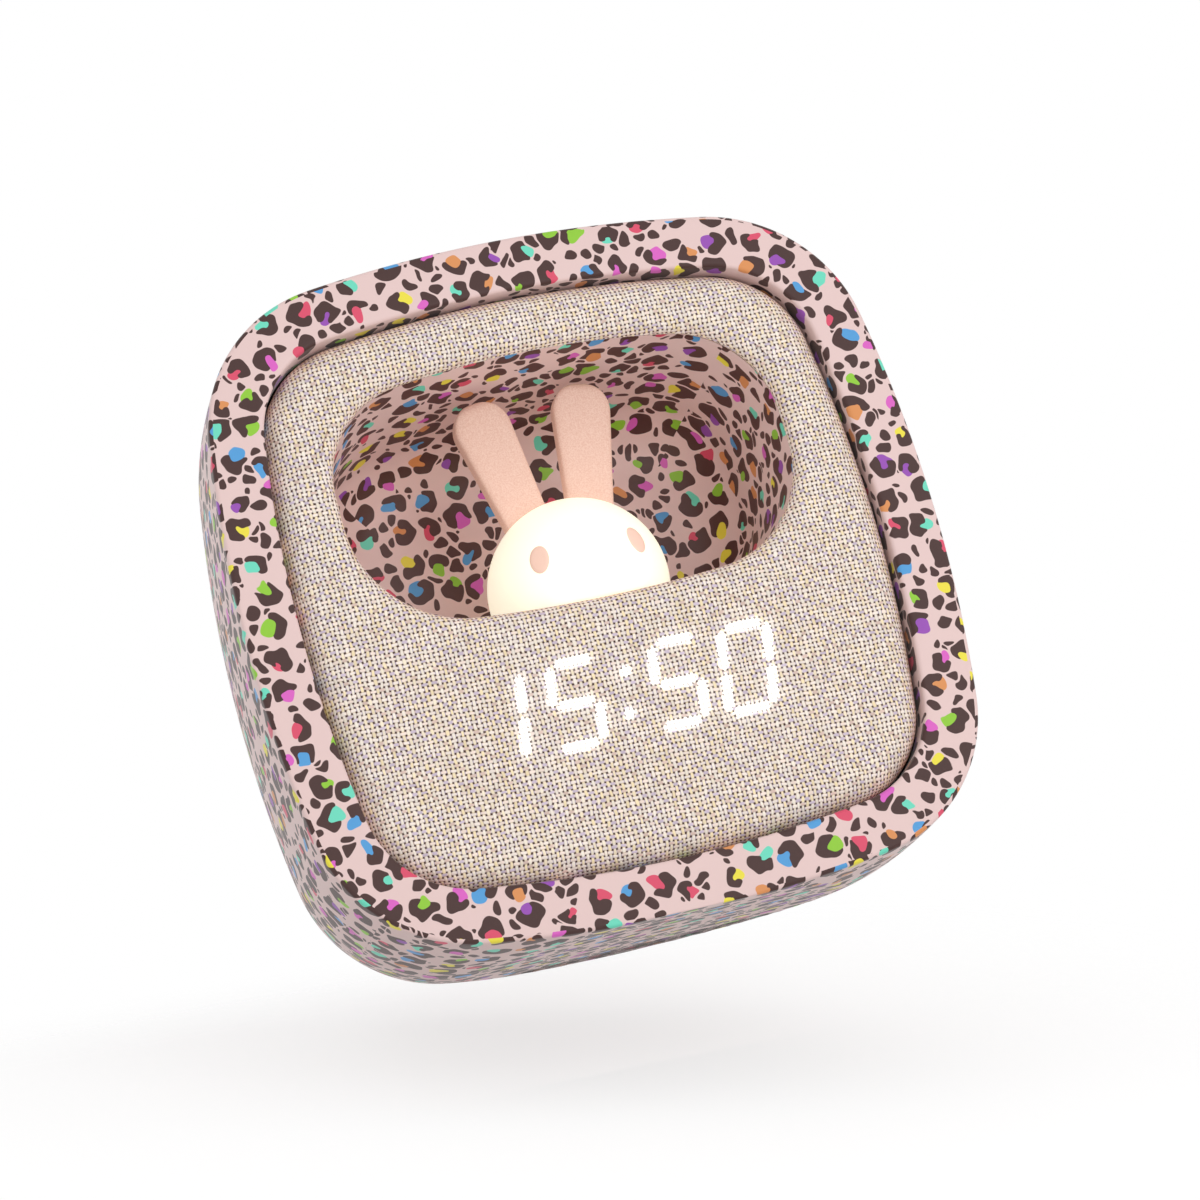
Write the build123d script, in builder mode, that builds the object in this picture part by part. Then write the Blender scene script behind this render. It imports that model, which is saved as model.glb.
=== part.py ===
"""Kids alarm clock with a night light, built piece by piece in millimetres.

The clock stands on the plane Z = 0 with +Z up. Its face looks along -Y and leans back a little.
Nearly every piece is drawn on planes of the face: x to the right, y up the face, and depth
measured from the front of the rim straight back into the body.
"""

import os
from math import cos, radians, sin, sqrt, tan

from build123d import *

# ---------------------------------------------------------------- body of the clock
LEAN = 6.5  # the face leans back by this many degrees
FACE_HALF = 52.0  # half of the front face, measured on its centre lines
BACK_HALF = 36.87  # half of the back face, before its edge is rounded
SIDE_RADIUS = 206.0  # bow of each side of the face
CORNER_RADIUS = 23.2
BODY_DEPTH = 72.0
TAPER_POWER = 2.5  # the sides run nearly straight at first and close in towards the back
BACK_ROUND = 8.0
STATION_COUNT = 8  # cross sections in each lofted shell
FRONT_SHIFT = 1.31  # the lean carries the middle of the clock this far forward
FRONT_Y = FRONT_SHIFT - BODY_DEPTH / 2
FOOT_CUT = 0.3  # the flat foot takes this much off the lowest point of the rim

SLEEVE_WALL = 2.2
SHELL_WALL = 2.0
RIM_WIDTH = 8.0  # flat printed band round the cloth
RIM_EDGE_ROUND = 0.6
LIP_WALL = 2.0  # sleeve folded back round the inside of the rim
LIP_DEPTH = 8.0
RING_DEPTH = 9.0  # solid front ring of the shell
BACK_FRAME = 7.37  # width of the sleeve round the back cover
BACK_OPENING = BACK_HALF - BACK_FRAME

# ---------------------------------------------------------------- padded front
RIM_GAP = 0.3
CLOTH = 0.7
PANEL_SKIRT = 8.0  # the cushion reaches this deep behind the rim
PANEL_WALL = 2.0
PANEL_BACK = 1.8  # depth of the flat back of the panel
CROWN = 1.2  # the cloth stands this much proud of the rim
DOME_RADIUS = 800.0
EDGE_ROLL = 4.5
WINDOW_ROLL = 2.2

# ---------------------------------------------------------------- display behind the cloth
DISPLAY_FROM_FOOT = 32.8  # middle of the digits above the lowest point of the face
DISPLAY_HEIGHT = DISPLAY_FROM_FOOT - FACE_HALF
DISPLAY_MIDDLE = -1.2
DIGIT_MIDDLES = (-19.9, -8.5, 6.9, 17.4)
COLON_MIDDLE = -0.8
DIGIT_RISE = 6.1  # from the middle segment to the top one
DIGIT_REACH = 3.45  # from the middle of a digit to its upright segments
DIGIT_SLANT = 9.5
SEGMENT_LENGTH = 6.0
SEGMENT_WIDTH = 1.8
SEGMENT_DEPTH = 2.5
MASK_SIDE = 1.05  # walls of the mask beside and above the digits
MASK_TOP = 1.3
MASK_SIZE = (
    2 * (DISPLAY_MIDDLE - DIGIT_MIDDLES[0] + DIGIT_REACH + SEGMENT_WIDTH + MASK_SIDE),
    2 * (DIGIT_RISE + SEGMENT_WIDTH / 2 + MASK_TOP),
)
MASK_FRONT = 0.7
MASK_BACK = 7.3
MASK_FLANGE = (1.2, 1.5, 1.5)  # wider at each side, taller at each side, thick
DISPLAY_POST_RADIUS = 2.0
DISPLAY_POST_X = MASK_SIZE[0] / 2 + 3.5
DISPLAY_BOARD = (2 * DISPLAY_POST_X + 4.6, MASK_SIZE[1] + 1.4, 1.2)

# ---------------------------------------------------------------- window in the cloth
SIDE_BAND = 18.2  # from the side of the face to the window
TOP_BAND = 17.2
WINDOW_OVER_DISPLAY = 15.0
WINDOW_HALF = FACE_HALF - SIDE_BAND
WINDOW_TOP = FACE_HALF - TOP_BAND
WINDOW_BOTTOM = DISPLAY_HEIGHT + WINDOW_OVER_DISPLAY
WINDOW_TOP_BOW = 3.7
WINDOW_SIDE_BOW = 1.2
WINDOW_FLOOR_BOW = 2.7
WINDOW_TOP_ROUND = 15.0
WINDOW_STRAIGHT = 0.6  # what the round corners leave of each side
WINDOW_SIDE = WINDOW_TOP - WINDOW_TOP_BOW - WINDOW_BOTTOM - WINDOW_FLOOR_BOW
WINDOW_FLOOR_ROUND = WINDOW_SIDE - WINDOW_TOP_ROUND - WINDOW_STRAIGHT

# ---------------------------------------------------------------- printed recess
LINER_WALL = 1.5
LINER_GAP = 0.4  # step from the cloth edge to the liner
LINER_FLOOR = WINDOW_BOTTOM + 0.2
LINER_DEPTH = 34.5
LINER_DRAFT = 2.9  # the back wall is this much smaller all round
LINER_ROUND = 8.0
LINER_FLANGE = 2.4
STAKE_RADIUS = 0.8
STAKE_LINE = 2.4  # from the window to the middle of the stakes
STAKES = (
    (-WINDOW_HALF - STAKE_LINE, 6.0),
    (WINDOW_HALF + STAKE_LINE, 6.0),
    (-14.0, WINDOW_TOP + STAKE_LINE),
    (14.0, WINDOW_TOP + STAKE_LINE),
)

# ---------------------------------------------------------------- lugs that hold the panel
LUG_SIDE = 13.6  # from the side of the face to an upper lug
LUG_HEIGHT = 20.0
LUG_CORNER = (22.0, 21.0)  # from the side and the foot of the face to a lower lug
LUG_XY = (
    (LUG_SIDE - FACE_HALF, LUG_HEIGHT),
    (FACE_HALF - LUG_SIDE, LUG_HEIGHT),
    (LUG_CORNER[0] - FACE_HALF, LUG_CORNER[1] - FACE_HALF),
    (FACE_HALF - LUG_CORNER[0], LUG_CORNER[1] - FACE_HALF),
)
LUG_THICK = 2.0
LUG_RADIUS = 3.2
LUG_ARM = 9.0  # arms from the shell to the upper and the lower lugs
LUG_CORNER_ARM = 14.0
PANEL_BOSS = 2.3

# ---------------------------------------------------------------- glowing rabbit
HEAD_RADIUS = 13.4
HEAD_WALL = 2.0
HEAD_HEIGHT = LINER_FLOOR + 4.9
HEAD_DEPTH = 12.5
SPIGOT_RADIUS = 8.5
SPIGOT_WALL = 1.3
EAR_BASE = (4.75, HEAD_HEIGHT + 10.6)
EAR_BASE_RADIUS = 3.35
EAR_TIP = (7.6, WINDOW_TOP - 7.3)
EAR_TIP_RADIUS = 4.35
EAR_THICK = 3.4
EAR_ROUND = 1.4
TENON = (3.6, 2.0)
EYE_AZIMUTH = 34.2
EYE_ELEVATION = 11.0
EYE_SIZE = (3.1, 4.4)
EYE_DEPTH = 1.0

# ---------------------------------------------------------------- lamp under the rabbit
LAMP_BOARD_TOP = LINER_FLOOR - LINER_WALL - 3.1
LAMP_BOARD = (28.4, 17.6, 1.2)
LAMP_BOARD_DEPTH = HEAD_DEPTH + 0.5
LAMP_POST_X = 12.2
LAMP_POST_RADIUS = 2.0
REFLECTOR_RADIUS = 9.1
REFLECTOR_MOUTH = 6.4
LAMP_LED = (2.8, 3.5, 1.0)

# ---------------------------------------------------------------- back cover and controls
COVER_GAP = 0.3
COVER_SUNK = 0.2  # the cover lies this deep in the opening of the sleeve
COVER_FACE = BODY_DEPTH - COVER_SUNK
COVER_SEAT = BODY_DEPTH - SLEEVE_WALL
COVER_LEDGE = 4.5  # the shell reaches this far under the cover
SHELL_OPENING = BACK_OPENING - COVER_LEDGE
COVER_RIM = 1.6  # locating rim inside the opening of the shell
COVER_SCREW = BACK_OPENING - 7.0
BOSS_RADIUS = 2.6
BOSS_LENGTH = 9.8
BUTTON_PITCH = 10.0
BUTTON_XS = (-1.5 * BUTTON_PITCH, -0.5 * BUTTON_PITCH, 0.5 * BUTTON_PITCH, 1.5 * BUTTON_PITCH)
BUTTON_HEIGHT = SHELL_OPENING - 8.0
BUTTON_RADIUS = 3.2
BUTTON_FLANGE = 4.0
BUTTON_GAP = 0.3
BUTTON_PROUD = 0.7
BUTTON_TRAVEL = 0.7
ROW_HEIGHT = BUTTON_HEIGHT - 9.5  # switch, reset hole and charging port under the buttons
SWITCH_AT = (-9.5, ROW_HEIGHT)
SWITCH_TRAVEL = 2.0
KNOB_SIZE = (3.2, 2.6)
KNOB_X = SWITCH_AT[0] - SWITCH_TRAVEL / 2
USB_AT = (9.5, ROW_HEIGHT)
USB_SIZE = (9.0, 3.2)
RESET_AT = (0.0, ROW_HEIGHT)

# ---------------------------------------------------------------- board on the cover
BOARD_THICK = 1.6
STANDOFF_LENGTH = 7.2
STANDOFF_RADIUS = 1.8
STANDOFFS = (
    (-17.0, BUTTON_HEIGHT - 12.2),
    (17.0, BUTTON_HEIGHT - 12.2),
    (-10.0, BUTTON_HEIGHT + 4.6),
    (10.0, BUTTON_HEIGHT + 4.6),
)
MAIN_BOARD = (38.0, 22.0)
MAIN_BOARD_HEIGHT = BUTTON_HEIGHT - 3.4
MAIN_BOARD_LOW = MAIN_BOARD_HEIGHT - MAIN_BOARD[1] / 2
MAIN_BOARD_BACK = COVER_SEAT - STANDOFF_LENGTH
MAIN_BOARD_FRONT = MAIN_BOARD_BACK - BOARD_THICK
TACT_HEIGHT = 3.2
TACT_SIZE = 5.6
PLUNGER_RADIUS = 1.6
PLUNGER_TOP = MAIN_BOARD_BACK + TACT_HEIGHT + 0.6
SLIDER_HEIGHT = 3.6
SLIDER_STEM = 1.4

# ---------------------------------------------------------------- speaker under the board
SPEAKER_TOP = MAIN_BOARD_LOW - 2.0
SPEAKER_RADIUS = (SPEAKER_TOP + SHELL_OPENING - 0.8) / 2
SPEAKER_HEIGHT = SPEAKER_TOP - SPEAKER_RADIUS
SPEAKER_SEAT = 0.1
GASKET = 0.9
CONE_FRONT = COVER_SEAT - GASKET
GRILLE_PITCH = 3.0
GRILLE_SLOT = 1.5
GRILLE_RADIUS = SPEAKER_RADIUS - 2.6

# ---------------------------------------------------------------- battery
CELL_RADIUS = 9.2
CELL_END_ROOM = 19.5  # from each end of the cell to the side of the face
CELL_LENGTH = 2 * (FACE_HALF - CELL_END_ROOM)
CELL_DEPTH = 33.0
CRADLE_LENGTH = 34.0
CRADLE_WALL = 1.4
CRADLE_FLOOR = 3.6
CRADLE_ARM = 3.0  # the arms reach this far past the middle of the cell

# ---------------------------------------------------------------- fasteners and wires
SCREW_RADIUS = 1.0
SCREW_HEAD = 1.9
SCREW_HEAD_HEIGHT = 1.3
SCREW_LENGTH = 6.0
HOLE_GAP = 0.1
LEAD_RADIUS = 0.6
RIBBON = (8.0, 0.4)

# ---------------------------------------------------------------- frames to draw in
LEAN_ANGLE = radians(LEAN)
FRONT = Plane(
    origin=(0, FRONT_Y, FACE_HALF * cos(LEAN_ANGLE) - FOOT_CUT),
    x_dir=(1, 0, 0),
    z_dir=(0, -cos(LEAN_ANGLE), sin(LEAN_ANGLE)),
)
TOWARDS_VIEWER = Axis(FRONT.origin, FRONT.z_dir)


def at(x, y, depth):
    """Point of the clock given on the face and its depth behind the rim."""
    return FRONT.from_local_coords(Vector(x, y, -depth))


def at_depth(depth):
    """Plane parallel to the face, this far behind the rim."""
    return FRONT.offset(-depth)


def deck(height):
    """Plane across the face at a height on it; its own y runs into the depth."""
    return Plane(origin=at(0, height, 0), x_dir=(1, 0, 0), z_dir=FRONT.y_dir)


def flank(x):
    """Upright plane along the depth; its own x is the depth and its own y the height."""
    return Plane(origin=at(x, 0, 0), x_dir=-FRONT.z_dir, z_dir=(1, 0, 0))


def gaze(azimuth, elevation):
    """Plane through the middle of the rabbit's head, facing where an eye looks."""
    side = radians(azimuth)
    rise = radians(elevation)
    outward = (
        FRONT.x_dir * (sin(side) * cos(rise))
        + FRONT.y_dir * sin(rise)
        + FRONT.z_dir * (cos(side) * cos(rise))
    )
    across = FRONT.x_dir * cos(side) - FRONT.z_dir * sin(side)
    return Plane(origin=HEAD_CENTRE, x_dir=across, z_dir=outward)


HEAD_CENTRE = at(0, HEAD_HEIGHT, HEAD_DEPTH)


# ---------------------------------------------------------------- shared outlines and forms
def taper(depth):
    """Share of the face size that is left at a depth."""
    return 1 - (1 - BACK_HALF / FACE_HALF) * (depth / BODY_DEPTH) ** TAPER_POWER


def bowed_square(scale, inset=0.0):
    """Outline of the clock: a square with bowed sides and round corners, drawn in by inset."""
    bow_offset = (SIDE_RADIUS - FACE_HALF) * scale
    bow_radius = SIDE_RADIUS * scale - inset
    reach = FACE_HALF * scale - inset
    corner = (sqrt(2 * bow_radius**2 - bow_offset**2) - bow_offset) / 2
    with BuildSketch(mode=Mode.PRIVATE) as outline:
        with BuildLine():
            ThreePointArc((corner, -corner), (reach, 0), (corner, corner))
            ThreePointArc((corner, corner), (0, reach), (-corner, corner))
            ThreePointArc((-corner, corner), (-reach, 0), (-corner, -corner))
            ThreePointArc((-corner, -corner), (0, -reach), (corner, -corner))
        make_face()
        fillet(outline.vertices(), CORNER_RADIUS * scale - inset)
    return outline.sketch


def tub_outline(half, top, bottom, floor_bow):
    """Outline of the window: bowed top and sides, a bowed or straight floor, round corners."""
    side = half - WINDOW_SIDE_BOW
    high = top - WINDOW_TOP_BOW
    low = bottom + floor_bow
    middle = (high + low) / 2
    growth = half - WINDOW_HALF
    with BuildSketch(mode=Mode.PRIVATE) as outline:
        with BuildLine():
            ThreePointArc((-side, high), (0, top), (side, high))
            ThreePointArc((side, high), (half, middle), (side, low))
            if floor_bow:
                ThreePointArc((side, low), (0, bottom), (-side, low))
            else:
                Line((side, low), (-side, low))
            ThreePointArc((-side, low), (-half, middle), (-side, high))
        make_face()
        fillet(outline.vertices().group_by(Axis.Y)[-1], WINDOW_TOP_ROUND + growth)
        fillet(outline.vertices().group_by(Axis.Y)[0], WINDOW_FLOOR_ROUND + growth)
    return outline.sketch


def window(grow=0.0):
    """Window in the cloth, grown all round."""
    return tub_outline(WINDOW_HALF + grow, WINDOW_TOP + grow, WINDOW_BOTTOM - grow, WINDOW_FLOOR_BOW)


def liner_section(grow, draft):
    """Section of the recess: its floor stays level while the other sides draw in with the draft."""
    spread = LINER_GAP + grow - draft
    return tub_outline(WINDOW_HALF + spread, WINDOW_TOP + spread, LINER_FLOOR - grow, 0)


def pebble(inset, front=None, front_round=0.0):
    """Closed form of the body with every side drawn in by inset, starting at the depth front.

    It is lofted through bowed squares that shrink with the depth, rounded at the back, and cut
    flat underneath where the clock stands.
    """
    first = inset if front is None else front
    last = BODY_DEPTH - inset
    step = (last - first) / (STATION_COUNT - 1)
    with BuildPart(mode=Mode.PRIVATE) as form:
        for station in range(STATION_COUNT):
            depth = first + station * step
            with BuildSketch(at_depth(depth)):
                add(bowed_square(taper(depth), inset))
        loft()
        fillet(form.faces().sort_by(TOWARDS_VIEWER)[0].edges(), BACK_ROUND - inset)
        if front_round:
            fillet(form.faces().sort_by(TOWARDS_VIEWER)[-1].edges(), front_round)
        split(bisect_by=Plane.XY.offset(inset), keep=Keep.TOP)
    return form.part


def cushion(inset):
    """Closed form of the padded front, drawn in by inset: domed face, rolled edges and window."""
    with BuildPart(mode=Mode.PRIVATE) as form:
        with BuildSketch(at_depth(PANEL_SKIRT)):
            add(bowed_square(1, RIM_WIDTH + RIM_GAP + inset))
        extrude(amount=PANEL_SKIRT + 2 * CROWN)
        with Locations(at(0, 0, DOME_RADIUS - CROWN)):
            Sphere(DOME_RADIUS - inset, mode=Mode.INTERSECT)
        fillet(form.faces().filter_by(GeomType.SPHERE)[0].edges(), EDGE_ROLL - inset)
        with BuildSketch(at_depth(PANEL_SKIRT)):
            add(window(inset))
        extrude(amount=PANEL_SKIRT + 2 * CROWN, mode=Mode.SUBTRACT)
        window_edge = form.faces().filter_by(GeomType.SPHERE)[0].inner_wires()[0].edges()
        fillet(window_edge, WINDOW_ROLL - inset)
    return form.part


def slanted(middle, x, y):
    """Point of a digit, leaning over with its height."""
    return (middle + x + y * tan(radians(DIGIT_SLANT)), DISPLAY_HEIGHT + y)


def digit(middle):
    """Seven pointed segments of one digit."""
    half = SEGMENT_LENGTH / 2
    width = SEGMENT_WIDTH / 2
    with BuildSketch(mode=Mode.PRIVATE) as segments:
        for y in (-DIGIT_RISE, 0, DIGIT_RISE):
            with BuildLine():
                Polyline(
                    slanted(middle, -half, y),
                    slanted(middle, -half + width, y + width),
                    slanted(middle, half - width, y + width),
                    slanted(middle, half, y),
                    slanted(middle, half - width, y - width),
                    slanted(middle, -half + width, y - width),
                    close=True,
                )
            make_face()
        for x in (-DIGIT_REACH, DIGIT_REACH):
            for y in (-DIGIT_RISE / 2, DIGIT_RISE / 2):
                with BuildLine():
                    Polyline(
                        slanted(middle, x, y - half + width / 2),
                        slanted(middle, x + width, y - half + 1.5 * width),
                        slanted(middle, x + width, y + half - 1.5 * width),
                        slanted(middle, x, y + half - width / 2),
                        slanted(middle, x - width, y + half - 1.5 * width),
                        slanted(middle, x - width, y - half + 1.5 * width),
                        close=True,
                    )
                make_face()
    return segments.sketch


def all_segments():
    """Every light window of the display: four digits and the colon."""
    with BuildSketch(mode=Mode.PRIVATE) as segments:
        for middle in DIGIT_MIDDLES:
            add(digit(middle))
        with Locations(
            slanted(COLON_MIDDLE, 0, DIGIT_RISE / 2),
            slanted(COLON_MIDDLE, 0, -DIGIT_RISE / 2),
        ):
            Rectangle(SEGMENT_WIDTH, SEGMENT_WIDTH)
    return segments.sketch


def screw(head_at, length=SCREW_LENGTH):
    """Pan-head screw: head_at is the plane under its head, facing away from the thread."""
    with BuildPart(head_at, mode=Mode.PRIVATE) as body:
        with BuildSketch(head_at):
            Circle(SCREW_HEAD)
        extrude(amount=SCREW_HEAD_HEIGHT)
        with BuildSketch(head_at.offset(SCREW_HEAD_HEIGHT)):
            Rectangle(2.2, 0.5)
            Rectangle(0.5, 2.2)
        extrude(amount=-0.6, mode=Mode.SUBTRACT)
        with BuildSketch(head_at):
            Circle(SCREW_RADIUS)
        extrude(amount=-length)
    return body.part


def back_button(x):
    """Round push button of the back: cap, retaining flange and the stem that presses the switch."""
    with BuildPart(mode=Mode.PRIVATE) as button:
        with BuildSketch(at_depth(COVER_FACE + BUTTON_PROUD)):
            with Locations((x, BUTTON_HEIGHT)):
                Circle(BUTTON_RADIUS)
        extrude(amount=COVER_FACE + BUTTON_PROUD - (COVER_SEAT - 1.5))
        fillet(button.faces().sort_by(TOWARDS_VIEWER)[0].edges(), 0.6)
        with BuildSketch(at_depth(COVER_SEAT - BUTTON_GAP)):
            with Locations((x, BUTTON_HEIGHT)):
                Circle(BUTTON_FLANGE)
        extrude(amount=1.2)
        with BuildSketch(at_depth(COVER_SEAT - 1.0)):
            with Locations((x, BUTTON_HEIGHT)):
                Circle(1.5)
        extrude(amount=COVER_SEAT - 1.0 - (PLUNGER_TOP + BUTTON_TRAVEL + 0.2))
    return button.part


# ================================================================ outer body
# Silicone sleeve: one stretchy skin with a printed rim, sides and back edge
with BuildPart() as silicone_sleeve:
    add(pebble(0, front_round=RIM_EDGE_ROUND))
    add(pebble(SLEEVE_WALL), mode=Mode.SUBTRACT)
    with BuildSketch(at_depth(LIP_DEPTH)):
        add(bowed_square(1, RIM_WIDTH - LIP_WALL))
    extrude(amount=LIP_DEPTH - SLEEVE_WALL / 2)
    with BuildSketch(at_depth(LIP_DEPTH)):
        add(bowed_square(1, RIM_WIDTH))
    extrude(amount=2 * LIP_DEPTH, mode=Mode.SUBTRACT)
    with BuildSketch(at_depth(BODY_DEPTH + 1)):
        add(bowed_square(BACK_OPENING / FACE_HALF))
    extrude(amount=SLEEVE_WALL + 2, mode=Mode.SUBTRACT)
    rim = silicone_sleeve.faces().sort_by(TOWARDS_VIEWER)[-1]
    fillet(rim.inner_wires()[0].edges(), RIM_EDGE_ROUND)

# Inner shell: stiff tub that the sleeve is stretched over
with BuildPart() as inner_shell:
    add(pebble(SLEEVE_WALL))
    add(pebble(SLEEVE_WALL + SHELL_WALL, front=RING_DEPTH), mode=Mode.SUBTRACT)
    with BuildSketch(at_depth(RING_DEPTH)):
        add(bowed_square(1, RIM_WIDTH - LIP_WALL))
    extrude(amount=RING_DEPTH, mode=Mode.SUBTRACT)
    # lugs behind the panel bosses
    with BuildSketch(at_depth(RING_DEPTH + LUG_THICK)):
        for side in (-1, 1):
            arm_x = side * (FACE_HALF - LUG_SIDE + 5.1)
            with Locations((arm_x, LUG_HEIGHT)):
                Rectangle(LUG_ARM, 2 * LUG_RADIUS)
            corner_x = side * (FACE_HALF - LUG_CORNER[0] + 5.5)
            corner_y = LUG_CORNER[1] - FACE_HALF - 5.5
            with Locations(Location((corner_x, corner_y), -45 * side)):
                Rectangle(LUG_CORNER_ARM, 2 * LUG_RADIUS)
        with Locations(*LUG_XY):
            Circle(LUG_RADIUS)
    extrude(amount=LUG_THICK)
    # rear bosses for the cover screws
    with BuildSketch(at_depth(BODY_DEPTH - SLEEVE_WALL - SHELL_WALL / 2)):
        with GridLocations(2 * COVER_SCREW, 2 * COVER_SCREW, 2, 2):
            Circle(BOSS_RADIUS)
    extrude(amount=BOSS_LENGTH - SHELL_WALL / 2)
    with BuildSketch(at_depth(BODY_DEPTH)):
        add(bowed_square(SHELL_OPENING / FACE_HALF))
    extrude(amount=3 * SLEEVE_WALL, mode=Mode.SUBTRACT)
    with BuildSketch(at_depth(COVER_SEAT)):
        with GridLocations(2 * COVER_SCREW, 2 * COVER_SCREW, 2, 2):
            Circle(SCREW_RADIUS)
    extrude(amount=BOSS_LENGTH - 2, mode=Mode.SUBTRACT)
    with BuildSketch(at_depth(RING_DEPTH + LUG_THICK)):
        with Locations(*LUG_XY):
            Circle(SCREW_RADIUS + HOLE_GAP)
    extrude(amount=LUG_THICK, mode=Mode.SUBTRACT)

# ================================================================ front
# Front panel: moulded cushion with the window, the display aperture, bosses and stakes
with BuildPart() as front_panel:
    add(cushion(CLOTH))
    with BuildSketch(at_depth(PANEL_SKIRT)):
        add(bowed_square(1, RIM_WIDTH + RIM_GAP + CLOTH + PANEL_WALL))
    extrude(amount=PANEL_SKIRT - PANEL_BACK, mode=Mode.SUBTRACT)
    with BuildSketch(at_depth(RING_DEPTH)):
        with Locations(*LUG_XY):
            Circle(PANEL_BOSS)
            Circle(SCREW_RADIUS, mode=Mode.SUBTRACT)
    extrude(amount=RING_DEPTH - PANEL_BACK)
    with BuildSketch(at_depth(MASK_BACK)):
        with Locations(
            (DISPLAY_MIDDLE - DISPLAY_POST_X, DISPLAY_HEIGHT),
            (DISPLAY_MIDDLE + DISPLAY_POST_X, DISPLAY_HEIGHT),
        ):
            Circle(DISPLAY_POST_RADIUS)
            Circle(SCREW_RADIUS, mode=Mode.SUBTRACT)
    extrude(amount=MASK_BACK - PANEL_BACK)
    # stiffening ribs under the display
    with BuildSketch(at_depth(PANEL_BACK + 3)):
        with Locations((0, 16 - FACE_HALF)):
            Rectangle(2 * (FACE_HALF - 24), 1.2)
        with Locations((-12, 15 - FACE_HALF), (12, 15 - FACE_HALF)):
            Rectangle(1.2, 7)
    extrude(amount=3)
    with BuildSketch(at_depth(PANEL_BACK + 1)):
        with Locations((DISPLAY_MIDDLE, DISPLAY_HEIGHT)):
            RectangleRounded(MASK_SIZE[0] + 2 * RIM_GAP, MASK_SIZE[1] + 2 * RIM_GAP, 1.2)
    extrude(amount=PANEL_BACK + 2, mode=Mode.SUBTRACT)
    with BuildSketch(at_depth(PANEL_BACK + LINER_WALL + 0.6)):
        with Locations(*STAKES):
            Circle(STAKE_RADIUS)
    extrude(amount=LINER_WALL + 0.6)

# Cloth: stretched over the panel, rolled round the outer edge and into the window
with BuildPart() as fabric_cover:
    add(cushion(0))
    add(cushion(CLOTH), mode=Mode.SUBTRACT)
    with BuildSketch(at_depth(PANEL_SKIRT)):
        add(window(3))
    extrude(amount=PANEL_SKIRT - PANEL_BACK, mode=Mode.SUBTRACT)

# Recess liner: printed tub behind the window, closed at the back
with BuildPart() as liner_hollow:
    with BuildSketch(at_depth(PANEL_BACK)):
        add(liner_section(0, 0))
    with BuildSketch(at_depth(LINER_DEPTH)):
        add(liner_section(0, LINER_DRAFT))
    loft()
    fillet(liner_hollow.faces().sort_by(TOWARDS_VIEWER)[0].edges(), LINER_ROUND)

with BuildPart() as recess_liner:
    with BuildSketch(at_depth(PANEL_BACK)):
        add(liner_section(LINER_WALL, 0))
    with BuildSketch(at_depth(LINER_DEPTH + LINER_WALL)):
        add(liner_section(LINER_WALL, LINER_DRAFT))
    loft()
    fillet(recess_liner.faces().sort_by(TOWARDS_VIEWER)[0].edges(), LINER_ROUND + LINER_WALL)
    with BuildSketch(at_depth(PANEL_BACK + LINER_WALL)):
        add(liner_section(LINER_WALL + LINER_FLANGE, 0))
        with Locations(*LUG_XY):
            Circle(PANEL_BOSS + 0.4, mode=Mode.SUBTRACT)
    extrude(amount=LINER_WALL)
    add(liner_hollow.part, mode=Mode.SUBTRACT)
    # posts that carry the lamp board
    with BuildSketch(deck(LAMP_BOARD_TOP)):
        with Locations((-LAMP_POST_X, LAMP_BOARD_DEPTH), (LAMP_POST_X, LAMP_BOARD_DEPTH)):
            Circle(LAMP_POST_RADIUS)
            Circle(SCREW_RADIUS, mode=Mode.SUBTRACT)
    extrude(amount=LINER_FLOOR - LINER_WALL - LAMP_BOARD_TOP)
    # light hole under the rabbit, and holes for the stakes
    with BuildSketch(deck(LINER_FLOOR - LINER_WALL)):
        with Locations((0, HEAD_DEPTH)):
            Circle(SPIGOT_RADIUS)
    extrude(amount=LINER_WALL + 0.5, mode=Mode.SUBTRACT)
    with BuildSketch(at_depth(PANEL_BACK + LINER_WALL)):
        with Locations(*STAKES):
            Circle(STAKE_RADIUS)
    extrude(amount=LINER_WALL, mode=Mode.SUBTRACT)

# ================================================================ rabbit
with BuildPart() as eye_pockets:
    for turn in (-EYE_AZIMUTH, EYE_AZIMUTH):
        with BuildSketch(gaze(turn, EYE_ELEVATION).offset(HEAD_RADIUS - 3)):
            Ellipse(EYE_SIZE[0] / 2, EYE_SIZE[1] / 2)
        extrude(amount=6)
    with Locations(HEAD_CENTRE):
        Sphere(HEAD_RADIUS - EYE_DEPTH, mode=Mode.SUBTRACT)

with BuildPart() as head_hollow:
    with Locations(HEAD_CENTRE):
        Sphere(HEAD_RADIUS - HEAD_WALL)
    split(bisect_by=deck(LINER_FLOOR + LINER_WALL), keep=Keep.TOP)

# Head: glowing dome that stands on the floor of the recess and lets the lamp shine up inside
with BuildPart() as rabbit_head:
    with Locations(HEAD_CENTRE):
        Sphere(HEAD_RADIUS)
    split(bisect_by=deck(LINER_FLOOR), keep=Keep.TOP)
    with BuildSketch(deck(LINER_FLOOR)):
        with Locations((0, HEAD_DEPTH)):
            Circle(SPIGOT_RADIUS)
    extrude(amount=-LINER_WALL)
    with BuildSketch(deck(LINER_FLOOR - LINER_WALL)):
        with Locations((0, HEAD_DEPTH)):
            Circle(SPIGOT_RADIUS - SPIGOT_WALL)
    extrude(amount=2 * LINER_WALL + 0.5, mode=Mode.SUBTRACT)
    add(head_hollow.part, mode=Mode.SUBTRACT)
    add(eye_pockets.part, mode=Mode.SUBTRACT)
    with BuildSketch(deck(HEAD_HEIGHT + HEAD_RADIUS - 4)):
        with Locations((-EAR_BASE[0], HEAD_DEPTH), (EAR_BASE[0], HEAD_DEPTH)):
            Rectangle(*TENON)
    extrude(amount=5, mode=Mode.SUBTRACT)

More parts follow.
